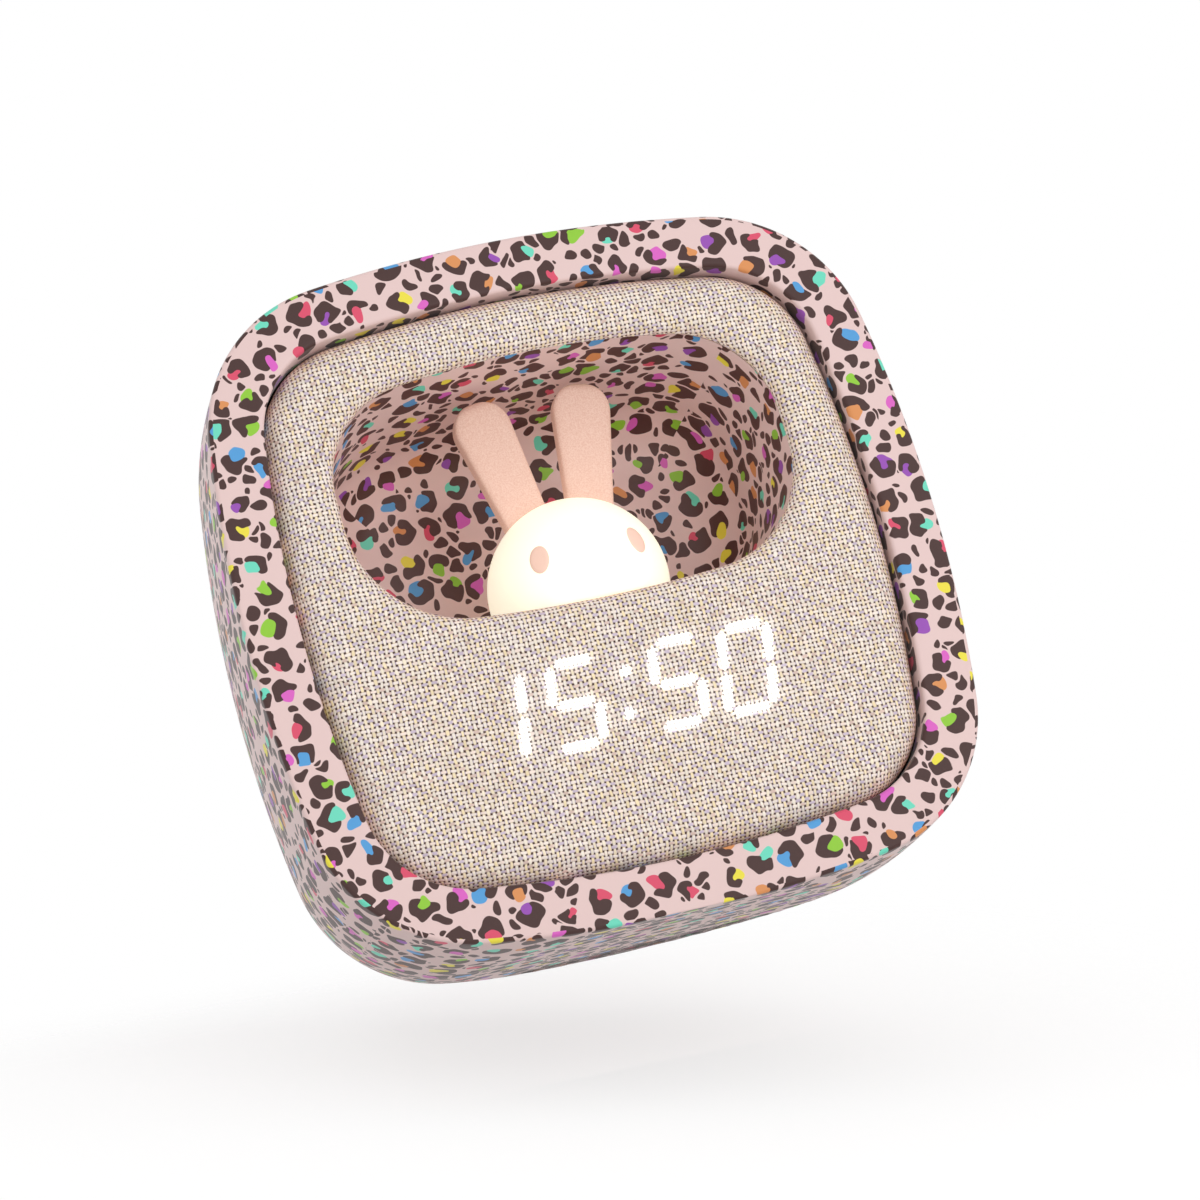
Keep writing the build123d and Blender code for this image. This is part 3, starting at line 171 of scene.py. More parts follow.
def tub(grow, bottom, floor_bow):
    """Chain of arcs of the tub, grown all round, with a bowed or a nearly straight floor."""
    half, top = WINDOW_HALF + grow, WINDOW_TOP + grow
    side, high, low = half - SIDE_BOW, top - TOP_BOW, bottom + floor_bow
    top_radius = bow_radius(side, TOP_BOW)
    side_radius = bow_radius((high - low) / 2, SIDE_BOW)
    floor_radius = bow_radius(side, max(floor_bow, LEAST_BOW))
    top_arc = (0, top - top_radius, top_radius)
    side_arc = (half - side_radius, (high + low) / 2, side_radius)
    floor_arc = (0, bottom + floor_radius, floor_radius)
    high_round, low_round = TOP_ROUND + grow, FLOOR_ROUND + grow
    upper = between(top_arc, side_arc, high_round, (side - CORNER_GUESS, high - CORNER_GUESS))
    lower = between(floor_arc, side_arc, low_round, (side - CORNER_GUESS, low + CORNER_GUESS))
    a_low = atan2(lower[1] - side_arc[1], lower[0] - side_arc[0])
    a_high = atan2(upper[1] - side_arc[1], upper[0] - side_arc[0])
    a_top = atan2(upper[1] - top_arc[1], upper[0] - top_arc[0])
    a_floor = atan2(lower[1] - floor_arc[1], lower[0] - floor_arc[0])
    return [
        (*side_arc, a_low, a_high, SIDE_POINTS),
        (*upper, high_round, a_high, a_top, CORNER_POINTS),
        (*top_arc, a_top, pi - a_top, LEVEL_POINTS),
        (-upper[0], upper[1], high_round, pi - a_top, pi - a_high, CORNER_POINTS),
        (-side_arc[0], side_arc[1], side_arc[2], pi - a_high, pi - a_low, SIDE_POINTS),
        (-lower[0], lower[1], low_round, pi - a_low, pi - a_floor, CORNER_POINTS),
        (*floor_arc, -pi - a_floor, a_floor, LEVEL_POINTS),
        (*lower, low_round, a_floor, a_low, CORNER_POINTS),
    ]


def close_chain(arcs):
    """Turns every arc of a chain to run forwards from the end of the one before."""
    closed = []
    angle = arcs[0][3]
    for x, y, radius, start, end, count in arcs:
        while start < angle - ANGLE_SLACK:
            start, end = start + 2 * pi, end + 2 * pi
        while start > angle + ANGLE_SLACK:
            start, end = start - 2 * pi, end - 2 * pi
        closed.append((x, y, radius, start, end, count))
        angle = end
    return closed


WINDOW = close_chain(tub(0, WINDOW_BOTTOM, WINDOW_FLOOR_BOW))
window_points, _ = walk(WINDOW)
print("window", window_points.min(axis=0).round(2), window_points.max(axis=0).round(2))

# %% [markdown]
# ## Skins made of rings
#
# The visible pieces of the clock are thin smooth shells. A subdivided cage could give such
# shapes, but it would not know where a print has to lie on them. So a skin here is a stack of
# rings with the same number of points, and each ring also carries pattern coordinates in
# millimetres, which gives a print or a weave its true scale. Where a pattern has to switch
# direction, as at a square corner, each face says which of several sets of coordinates it takes.

# %% Faces of a skin
def stitch(rows, count, maps, home, wrap):
    """Faces between neighbouring rings, and the pattern place of each of their corners."""
    column = np.arange(count)
    after = (column + 1) % count
    faces, corners = [], []
    for row in range(rows if wrap else rows - 1):
        upper = (row + 1) % rows
        quad = [row * count + column, row * count + after]
        quad += [upper * count + after, upper * count + column]
        faces.append(np.stack(quad, axis=-1))
        low = [maps[home[row], row, column], maps[home[row], row, after]]
        high = [maps[home[row], upper, after], maps[home[row], upper, column]]
        corners.append(np.stack(low + high, axis=1))
    return np.concatenate(faces).tolist(), np.concatenate(corners).reshape(-1, 2)


def fan(row, count, tip, rim_map, tip_map):
    """Triangles that close one ring to the point number tip, and their pattern corners."""
    column = np.arange(count)
    after = (column + 1) % count
    first, second = (after, column) if row == 0 else (column, after)
    faces = np.stack([row * count + first, row * count + second, np.full(count, tip)], axis=-1)
    corners = [rim_map[first], rim_map[second], np.tile(tip_map, (count, 1))]
    return faces.tolist(), np.stack(corners, axis=1).reshape(-1, 2)


def face_outwards(mesh):
    """Turns a closed skin inside out if its volume comes out negative."""
    mesh.calc_loop_triangles()
    points = np.array([v.co for v in mesh.vertices])
    tris = np.array([t.vertices for t in mesh.loop_triangles])
    a, b, c = points[tris[:, 0]], points[tris[:, 1]], points[tris[:, 2]]
    if np.einsum("ij,ij->i", a, np.cross(b, c)).sum() < 0:
        mesh.flip_normals()


print("faces that close a ring of 6:", len(fan(0, 6, 6, np.zeros((6, 2)), (0, 0))[0]))

# %% Ring skins
MAP_NAME = "pattern_mm"


def ring_skin(name, rings, uv_sets, home=0, wrap=False, caps=()):
    """Mesh object through rings of world points, with a pattern map in millimetres.

    home is the number of the map that each face takes. A cap is (ring number, world point,
    map point): the ring is closed by a fan to that point."""
    rows, count = rings.shape[:2]
    home = np.broadcast_to(home, (rows, count))
    vertices = rings.reshape(-1, 3)
    faces, corners = stitch(rows, count, np.stack(uv_sets), home, wrap)
    for row, tip, tip_map in caps:
        row = row % rows
        fan_faces, fan_corners = fan(row, count, len(vertices), uv_sets[0][row], tip_map)
        faces += fan_faces
        corners = np.vstack([corners, fan_corners])
        vertices = np.vstack([vertices, tip])
    mesh = bpy.data.meshes.new(name)
    mesh.from_pydata(vertices.tolist(), [], faces)
    layer = mesh.uv_layers.new(name=MAP_NAME)
    layer.data.foreach_set("uv", corners.astype(np.float32).ravel())
    mesh.polygons.foreach_set("use_smooth", [True] * len(mesh.polygons))
    piece = bpy.data.objects.new(name, mesh)
    bpy.context.collection.objects.link(piece)
    face_outwards(mesh)
    print(name, len(mesh.vertices), "points", len(mesh.polygons), "faces")
    return piece


def path_length(rings):
    """Distance walked along each column of a stack of rings."""
    steps = np.linalg.norm(np.diff(rings, axis=0), axis=-1)
    return np.vstack([np.zeros(rings.shape[1]), np.cumsum(steps, axis=0)])


def closed_skin(name, rings, tips):
    """Skin of a plain piece on the face. Tips are (ring number, point) that close its ends."""
    caps = [(row, to_world(tip), (0, 0)) for row, tip in tips]
    return ring_skin(name, to_world(rings), [rings[..., :2]], caps=caps)


test_walk = np.array([[[0, 0, 0]], [[3, 4, 0]]])
print("a step of 3 across and 4 up is", path_length(test_walk)[-1, 0], "long")

# %% [markdown]
# ## The silicone sleeve
#
# The sleeve is one stretchy moulding: a flat printed rim, bowed sides that shrink towards the
# back and a rounded back edge. It could be a copy of the solid model with its edges softened,
# but a walk along its section keeps every radius true. The walk goes from the lip that folds in
# round the cloth, over the rim and the sides, to the opening in the back and home along the
# inside. Every step of it becomes one ring.

# %% Walk along the sleeve's section
RIM_WIDTH = 8.0
RIM_EDGE_ROUND = 0.6
LIP_DEPTH = 8.0
LIP_WALL = 2.0
SLEEVE_WALL = 2.2
BACK_OPENING = 29.5
BACK_EDGE = 0.3
LIP_STEPS = (LIP_DEPTH, 4.0, 1.5)
INNER_STEPS = (66.0, 60.0, 52.0, 42.0, 30.0, 16.0, SLEEVE_WALL)
RING_COUNTS = {"lip edge": 6, "rim": 9, "rim edge": 7, "side": 46, "back edge": 14}


def wall_slope(depth, step=0.01):
    """How fast the side closes in at a depth."""
    return FACE_HALF * (taper(depth - step) - taper(depth + step)) / (2 * step)


# The round back edge starts where its own slope is that of the side, found by going on trying.
last_depth = BODY_DEPTH - BACK_ROUND
for _ in range(20):
    lean_in = atan(wall_slope(last_depth))
    last_depth = BODY_DEPTH - BACK_ROUND + BACK_ROUND * sin(lean_in)

section = [(1, RIM_WIDTH, depth) for depth in LIP_STEPS]
for turn in np.linspace(0, pi / 2, RING_COUNTS["lip edge"]):
    inset = RIM_WIDTH - RIM_EDGE_ROUND * (1 - cos(turn))
    section.append((1, inset, RIM_EDGE_ROUND * (1 - sin(turn))))
for inset in np.linspace(RIM_WIDTH - RIM_EDGE_ROUND, RIM_EDGE_ROUND, RING_COUNTS["rim"])[1:]:
    section.append((1, inset, 0))
rim_rings = len(section)
for turn in np.linspace(0, pi / 2, RING_COUNTS["rim edge"])[1:]:
    section.append((1, RIM_EDGE_ROUND * (1 - sin(turn)), RIM_EDGE_ROUND * (1 - cos(turn))))
for depth in np.linspace(RIM_EDGE_ROUND, last_depth, RING_COUNTS["side"])[1:]:
    section.append((taper(depth), 0, depth))
for turn in np.linspace(lean_in, pi / 2, RING_COUNTS["back edge"])[1:]:
    inset = BACK_ROUND * (cos(lean_in) - cos(turn))
    section.append((taper(last_depth), inset, BODY_DEPTH - BACK_ROUND * (1 - sin(turn))))
opening = BACK_OPENING / FACE_HALF
section += [(opening, inset, BODY_DEPTH) for inset in (-4 * BACK_EDGE, -BACK_EDGE)]
section += [(opening, 0, BODY_DEPTH - depth) for depth in (BACK_EDGE, SLEEVE_WALL)]
outer_rings = len(section)
section += [(taper(depth), SLEEVE_WALL, depth) for depth in INNER_STEPS]
section += [(1, RIM_WIDTH - LIP_WALL, depth) for depth in (SLEEVE_WALL, LIP_DEPTH)]
print("rings in the sleeve", len(section), "rim", rim_rings)

# %% Pattern maps of a wall with four sides
def unroll(rings, lengths, edge, normals):
    """Two pattern maps of a closed wall of four sides, each side unrolled from its middle."""
    following = np.roll(rings, -1, axis=1)
    steps = np.linalg.norm(following - rings, axis=-1)
    walked = np.cumsum(steps, axis=1) - steps
    whole = steps.sum(axis=1, keepdims=True)
    maps = []
    for out_axis, along_axis in ((0, 1), (1, 0)):
        unrolled = np.zeros(rings.shape[:2] + (2,))
        for way in (1, -1):
            middle = int(np.argmax(way * normals[:, out_axis]))
            half = way * normals[:, out_axis] >= 0
            away = (walked - walked[:, [middle]] + whole / 2) % whole - whole / 2
            forwards = np.sign(following[0, middle, along_axis] - rings[0, middle, along_axis])
            unrolled[:, half, along_axis] = (edge[middle, along_axis] + forwards * away)[:, half]
            unrolled[:, half, out_axis] = edge[middle, out_axis] + way * lengths[:, [middle]]
        maps.append(unrolled)
    return maps


flat_rings = []
for scale, inset, depth in section:
    points, normals = walk(bowed_square(scale), inset)
    flat_rings.append(np.column_stack([points, np.full(len(points), depth)]))
flat_rings = np.array(flat_rings)
lengths = path_length(flat_rings)
lengths = lengths - lengths[rim_rings - 1]
rim_edge = flat_rings[rim_rings - 1, :, :2]
sideways, upright = unroll(flat_rings, lengths, rim_edge, normals)
print("the wall unrolls to", round(float(sideways[:outer_rings].max()), 1), "mm")

# %% Build the sleeve
sleeve_rings = to_world(flat_rings)
# The foot is cut level, outside on the ground and inside a wall above it.
outer, inner = sleeve_rings[:outer_rings], sleeve_rings[outer_rings:]
outer[..., 2] = np.maximum(outer[..., 2], 0)
inner[..., 2] = np.maximum(inner[..., 2], SLEEVE_WALL / METRE)

# The face takes a third map: the print lies flat on it and folds in over the lip.
lip = len(LIP_STEPS)
flat_face = flat_rings[..., :2].copy()
inwards = lengths[lip : lip + 1] - lengths[:lip]
flat_face[:lip] = flat_rings[lip : lip + 1, :, :2] - normals * inwards[..., None]
face_normals = normals + np.roll(normals, -1, axis=0)
face_angle = np.arctan2(face_normals[:, 1], face_normals[:, 0])
sleeve_home = (np.abs(np.sin(face_angle)) > np.abs(np.cos(face_angle))).astype(int)
on_face = np.arange(len(section))[:, None] < rim_rings - 1
sleeve_home = np.where(on_face, 2, sleeve_home)
sleeve_maps = [sideways, upright, flat_face]
sleeve = ring_skin("sleeve_skin", sleeve_rings, sleeve_maps, sleeve_home, wrap=True)
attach(sleeve, "clock")
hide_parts("silicone_sleeve")

# %% [markdown]
# ## The cloth front
#
# The cloth is pulled tight over a moulded cushion, so it has no folds: it follows a shallow dome,
# rolls over the outer edge into the gap beside the rim, and rolls into the window. Simulating it
# would only find this shape again. The rings run from the window out to the edge, and the pattern
# map keeps running round both rolls, so the yarns bend over the edges as real ones do.

# %% Outlines of the cloth
RIM_GAP = 0.3
CLOTH = 0.7
CROWN = 1.2
DOME_RADIUS = 800.0
EDGE_ROLL = 4.5
WINDOW_ROLL = 2.2
PANEL_SKIRT = 8.0
PANEL_BACK = 1.8
AROUND = 416


def even(points, normals, count):
    """The same closed outline with evenly spaced points, starting at its lowest middle point."""
    start = int(np.argmin(points[:, 1] + 0.01 * np.abs(points[:, 0])))
    points, normals = np.roll(points, -start, axis=0), np.roll(normals, -start, axis=0)
    points, normals = np.vstack([points, points[:1]]), np.vstack([normals, normals[:1]])
    steps = np.linalg.norm(np.diff(points, axis=0), axis=1)
    length = np.concatenate([[0], np.cumsum(steps)])
    places = np.linspace(0, length[-1], count, endpoint=False)
    point = np.stack([np.interp(places, length, points[:, i]) for i in (0, 1)], axis=-1)
    normal = np.stack([np.interp(places, length, normals[:, i]) for i in (0, 1)], axis=-1)
    return point, normal / np.linalg.norm(normal, axis=1, keepdims=True)


def dome(points):
    """Depth of the domed front at places on the face."""
    return -CROWN + (points[:, 0] ** 2 + points[:, 1] ** 2) / (2 * DOME_RADIUS)


fine_square = bowed_square(1, side_count=90, corner_count=70)
fine_window = [(*arc[:5], arc[5] * 3) for arc in WINDOW]
edge_points, edge_normals = even(*walk(fine_square, RIM_WIDTH + RIM_GAP), AROUND)
hole_points, hole_normals = even(*walk(fine_window), AROUND)
print("cloth from", hole_points.max(axis=0).round(1), "to", edge_points.max(axis=0).round(1))

# %% Rings of the cloth
PAST_WINDOW = 1.0
PAST_EDGE = 3.0
BACK_LAYER_STEP = 4


def cloth_layer(thin):
    """Rings of one side of the cloth, drawn in by thin, from the window to the skirt."""
    rings, maps = [], []

    def add(points, depth, pattern):
        rings.append(np.column_stack([points, depth]))
        maps.append(pattern)

    hole_foot = hole_points + hole_normals * thin
    hole_start = hole_points + hole_normals * WINDOW_ROLL
    hole_dome = dome(hole_start) + thin
    roll = WINDOW_ROLL - thin
    pattern = hole_start - hole_normals * (WINDOW_ROLL * pi / 2 + PAST_WINDOW)
    add(hole_foot, np.full(AROUND, PANEL_BACK), pattern)
    for turn in np.linspace(pi / 2, 0, 9):
        points = hole_foot + hole_normals * roll * (1 - sin(turn))
        pattern = hole_start - hole_normals * WINDOW_ROLL * turn
        add(points, hole_dome + roll * (1 - cos(turn)), pattern)
    edge_foot = edge_points - edge_normals * thin
    edge_start = edge_points - edge_normals * EDGE_ROLL
    for share in np.linspace(0, 1, 50)[1:-1]:
        points = hole_start * (1 - share) + edge_start * share
        add(points, dome(points) + thin, points)
    edge_dome = dome(edge_start) + thin
    roll = EDGE_ROLL - thin
    for turn in np.linspace(0, pi / 2, 13):
        points = edge_foot - edge_normals * roll * (1 - sin(turn))
        pattern = edge_start + edge_normals * EDGE_ROLL * turn
        add(points, edge_dome + roll * (1 - cos(turn)), pattern)
    pattern = edge_start + edge_normals * (EDGE_ROLL * pi / 2 + PAST_EDGE)
    add(edge_foot, np.full(AROUND, PANEL_SKIRT), pattern)
    return np.array(rings), np.array(maps)


front_rings, front_maps = cloth_layer(0.0)
back_rings, back_maps = cloth_layer(CLOTH)
print("rings on each side of the cloth", len(front_rings), len(back_rings))

# %% Build the cloth
cloth_rings = np.concatenate([front_rings, back_rings[::-BACK_LAYER_STEP]])
cloth_maps = np.concatenate([front_maps, back_maps[::-BACK_LAYER_STEP]])
cloth = ring_skin("cloth_front", to_world(cloth_rings), [cloth_maps], wrap=True)
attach(cloth, "clock")
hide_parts("fabric_cover")

# %% [markdown]
# ## The recess
#
# Behind the window sits a printed tub, a little smaller at the back than at the front and with
# a round back edge. Its floor stays level, because the rabbit stands on it. It could be cut out
# of a block, but a thin shell of rings can take the print. The print is unrolled from the back
# wall, so it runs on over the round edge without a break.

# %% Rings of the recess
LINER_GAP = 0.4
LINER_FLOOR = -4.0
LINER_DEPTH = 34.5
LINER_DRAFT = 2.9
LINER_ROUND = 8.0
LINER_WALL = 1.5
LINER_FLANGE = 2.4
CLOSING_SHARES = (0.2, 0.4, 0.6, 0.8, 0.94)
WALL_MIDDLE = np.array([0.0, 12.0, LINER_DEPTH])


def liner_ring(depth, inset, grow=0.0):
    """One section of the tub at a depth, with its normals."""
    share = (depth - PANEL_BACK) / (LINER_DEPTH - PANEL_BACK)
    arcs = close_chain(tub(LINER_GAP + grow - LINER_DRAFT * share, LINER_FLOOR - grow, 0))
    points, normals = walk(arcs, inset)
    return np.column_stack([points, np.full(len(points), depth)]), normals


inside = []
for depth in np.linspace(PANEL_BACK, LINER_DEPTH - LINER_ROUND, 14):
    inside.append(liner_ring(depth, 0)[0])
for turn in np.linspace(0, pi / 2, 12)[1:]:
    depth = LINER_DEPTH - LINER_ROUND * (1 - sin(turn))
    ring, liner_normals = liner_ring(depth, LINER_ROUND * (1 - cos(turn)))
    inside.append(ring)
back_edge = len(inside) - 1
for share in CLOSING_SHARES:
    inside.append(inside[back_edge] * (1 - share) + WALL_MIDDLE * share)
outside = [liner_ring(PANEL_BACK, 0, LINER_WALL + LINER_FLANGE)[0]]
outside.append(outside[0] + [0, 0, LINER_WALL])
for depth in (PANEL_BACK + LINER_WALL, 12.0, LINER_DEPTH - LINER_ROUND):
    outside.append(liner_ring(depth, 0, LINER_WALL)[0])
for turn in (0.5, 1.0, pi / 2):
    depth = LINER_DEPTH - LINER_ROUND * (1 - sin(turn))
    ring = liner_ring(depth, LINER_ROUND * (1 - cos(turn)), LINER_WALL)[0]
    outside.append(ring + [0, 0, LINER_WALL * sin(turn)])
inside = np.array(inside)
outside = np.array(outside)
print("rings in the recess", len(inside), "inside", len(outside), "outside")

# %% Build the recess
STEEP_NORMAL = 0.72


def unfold(rings, lengths, start, normals):
    """Two pattern maps of a wall: unrolled sideways, and unrolled up and down."""
    side = np.sign(normals[:, 0])
    rise = np.sign(normals[:, 1])
    sideways = np.stack([start[:, 0] + side * lengths, rings[..., 1]], axis=-1)
    upright = np.stack([rings[..., 0], start[:, 1] + rise * lengths], axis=-1)
    return sideways, upright


lengths = path_length(inside)
lengths = np.maximum(lengths[back_edge] - lengths, 0)
recess_maps = []
for print_map in unfold(inside, lengths, inside[back_edge], liner_normals):
    print_map[back_edge:] = inside[back_edge:, :, :2]
    recess_maps.append(np.concatenate([outside[::-1, :, :2], print_map]))
stack = np.concatenate([outside[::-1], inside])
recess_home = (np.abs(liner_normals[:, 1]) > STEEP_NORMAL).astype(int)
cap = (-1, to_world(WALL_MIDDLE), WALL_MIDDLE[:2])
recess = ring_skin("recess_skin", to_world(stack), recess_maps, recess_home, caps=[cap])
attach(recess, "clock")
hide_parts("recess_liner")

# %% [markdown]
# ## The rabbit
#
# The rabbit's head is a milky ball that stands on the floor of the recess, cut flat underneath.
# The ears are soft paddles: their outline is a small circle and a larger one joined by straight
# sides, and the section across them is a rounded oblong. Ready-made balls would meet the floor
# with an open edge, so head and ears are built from rings again and stay closed and smooth
# however close the camera comes.

# %% Head
HEAD_RADIUS = 13.4
HEAD_CENTRE = np.array([0.0, LINER_FLOOR + 4.9, 12.5])
HEAD_POINTS = 96
HEAD_RINGS = 44
NEARLY_TOP = 1.54


def circle(count):
    """Angles of evenly spaced points round a ring."""
    return np.arange(count) / count * 2 * pi


def ball_ring(rise):
    """Ring of points round the upright axis of the head."""
    angles = circle(HEAD_POINTS)
    radius = sqrt(HEAD_RADIUS**2 - rise**2)
    ring = [radius * np.sin(angles), np.full(HEAD_POINTS, rise), -radius * np.cos(angles)]
    return HEAD_CENTRE + np.stack(ring, axis=-1)


head_cut = (LINER_FLOOR - HEAD_CENTRE[1]) / HEAD_RADIUS
head_angles = np.linspace(np.arcsin(head_cut), NEARLY_TOP, HEAD_RINGS)
head_rings = np.array([ball_ring(HEAD_RADIUS * sin(angle)) for angle in head_angles])
head_foot = HEAD_CENTRE + [0, HEAD_RADIUS * head_cut, 0]
head_top = HEAD_CENTRE + [0, HEAD_RADIUS, 0]
head = closed_skin("rabbit_face", head_rings, [(0, head_foot), (-1, head_top)])
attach(head, "clock")
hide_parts("rabbit_head")

# %% Ears
EAR_BASE = np.array([4.75, 11.5])
EAR_BASE_RADIUS = 3.35
EAR_TIP = np.array([7.6, 27.5])
EAR_TIP_RADIUS = 4.35
EAR_THICK = 3.4
EAR_ROOT = 2.0
EAR_TIP_THINNING = 1.7
EAR_BOXY_WIDE = 0.5
EAR_BOXY_DEEP = 0.32


def ear_half_width(along, length):
    """Half the width of the ear at a distance along its middle line."""
    spread = (EAR_TIP_RADIUS - EAR_BASE_RADIUS) / length
    straight = sqrt(1 - spread**2)
    if along > length - EAR_TIP_RADIUS * spread:
        return sqrt(max(EAR_TIP_RADIUS**2 - (along - length) ** 2, 0))
    return (EAR_BASE_RADIUS + along * spread) / straight


def boxy(wave, power):
    """A sine or cosine drawn towards a square wave, which turns a circle into an oblong."""
    return np.sign(wave) * np.abs(wave) ** power


def ear(name, side):
    """One paddle, from inside the head to its round tip."""
    middle = EAR_TIP - EAR_BASE
    length = sqrt((middle**2).sum())
    up = middle / length
    across = np.array([up[1], -up[0]])
    wide = boxy(np.cos(circle(72)), EAR_BOXY_WIDE)
    deep = boxy(np.sin(circle(72)), EAR_BOXY_DEEP)
    end = length + EAR_TIP_RADIUS
    places = list(np.linspace(-EAR_ROOT, length, 18))
    places += [length + EAR_TIP_RADIUS * sin(a) for a in np.linspace(0, 1.53, 18)[1:]]
    rings = []
    for along in places:
        half = ear_half_width(along, length)
        left = min((end - along) / EAR_TIP_THINNING, 1)
        thick = EAR_THICK / 2 * sqrt(1 - (1 - left) ** 2)
        flat = EAR_BASE + up * along + across * (half * wide)[:, None]
        depth = HEAD_CENTRE[2] + thick * deep
        rings.append(np.column_stack([side * flat[:, 0], flat[:, 1], depth]))
    tips = []
    for row, (x, y) in ((0, EAR_BASE - up * EAR_ROOT), (-1, EAR_BASE + up * end)):
        tips.append((row, [side * x, y, HEAD_CENTRE[2]]))
    return closed_skin(name, np.array(rings), tips)


for name, side, node in (("ear_left", -1, "left_ear"), ("ear_right", 1, "right_ear")):
    paddle = ear(name, side)
    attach(paddle, "clock")
    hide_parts(node)

# %% Eyes
EYE_AZIMUTH = radians(34.2)
EYE_ELEVATION = radians(11)
EYE_WIDTH = 3.1
EYE_HEIGHT = 4.4
EYE_PROUD = 0.05
EYE_STEPS = ((1.0, -0.3), (1.0, 0.0), (0.97, EYE_PROUD), (0.7, EYE_PROUD), (0.35, EYE_PROUD))


def eye_rings(side):
    """Rings of one eye, an oval patch that hugs the ball."""
    turn, lift = side * EYE_AZIMUTH, EYE_ELEVATION
    out = np.array([sin(turn) * cos(lift), sin(lift), -cos(turn) * cos(lift)])
    right = np.array([cos(turn), 0, sin(turn)])
    up = np.array([-sin(turn) * sin(lift), cos(lift), cos(turn) * sin(lift)])
    angles = circle(40)
    rings = []
    for share, height in EYE_STEPS:
        flat = right * (np.cos(angles) * EYE_WIDTH / 2 * share)[:, None]
        flat = flat + up * (np.sin(angles) * EYE_HEIGHT / 2 * share)[:, None]
        ray = out * HEAD_RADIUS + flat
        ray = ray / np.linalg.norm(ray, axis=1, keepdims=True)
        rings.append(HEAD_CENTRE + ray * (HEAD_RADIUS + height))
    return np.array(rings), HEAD_CENTRE + out * (HEAD_RADIUS + EYE_PROUD)


for name, side in (("eye_left", -1), ("eye_right", 1)):
    rings, middle = eye_rings(side)
    eye = closed_skin(name, rings, [(-1, middle)])
    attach(eye, "clock")
    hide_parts("rabbit_eyes")

# The area of the cloth is its front layer unrolled: its outer edge less the hole of the window.
# Here only the steps between the points of each pair of neighbouring rings are measured and
# averaged.

# %% Steps along the rings of the cloth
for inner, outer in zip(front_rings[:-1], front_rings[1:]):
    side_step = np.linalg.norm(np.roll(inner, -1, axis=0) - inner, axis=1)
    side_step = (side_step + np.linalg.norm(np.roll(outer, -1, axis=0) - outer, axis=1)) / 2

# %% [markdown]
# ## Patterns from nodes
#
# The print and the weave could be pictures, but here they are worked out point by point from the
# pattern maps, which are in millimetres. So they stay crisp at any distance and never repeat.
# Three small helpers keep the wiring short. A signal is what leaves a node, and plain sums and
# products with it add math nodes. The outputs of a node are its signals. The wiring adds nodes
# and fills their inputs with numbers, colours or signals, so a pattern reads like a formula.

# %% Signals
class Signal:
    """What leaves a node. Arithmetic with it adds math nodes to the same tree."""

    def __init__(self, wiring, socket):
        self.wiring = wiring
        self.socket = socket

    def __add__(self, other):
        return self.wiring.math("ADD", self, other)

    def __sub__(self, other):
        return self.wiring.math("SUBTRACT", self, other)

    def __rsub__(self, other):
        return self.wiring.math("SUBTRACT", other, self)

    def __mul__(self, other):
        return self.wiring.math("MULTIPLY", self, other)

    def __truediv__(self, other):
        return self.wiring.math("DIVIDE", self, other)

    def __rtruediv__(self, other):
        return self.wiring.math("DIVIDE", other, self)


class Outputs:
    """The signals that leave one node, asked for by name or by number."""

    def __init__(self, wiring, sockets):
        self.wiring = wiring
        self.sockets = sockets

    def __getitem__(self, key):
        return Signal(self.wiring, self.sockets[key])


print("a signal takes + - * and /")

# %% Wiring
NODE_STEP = (220, 260)
NODES_IN_ROW = 12


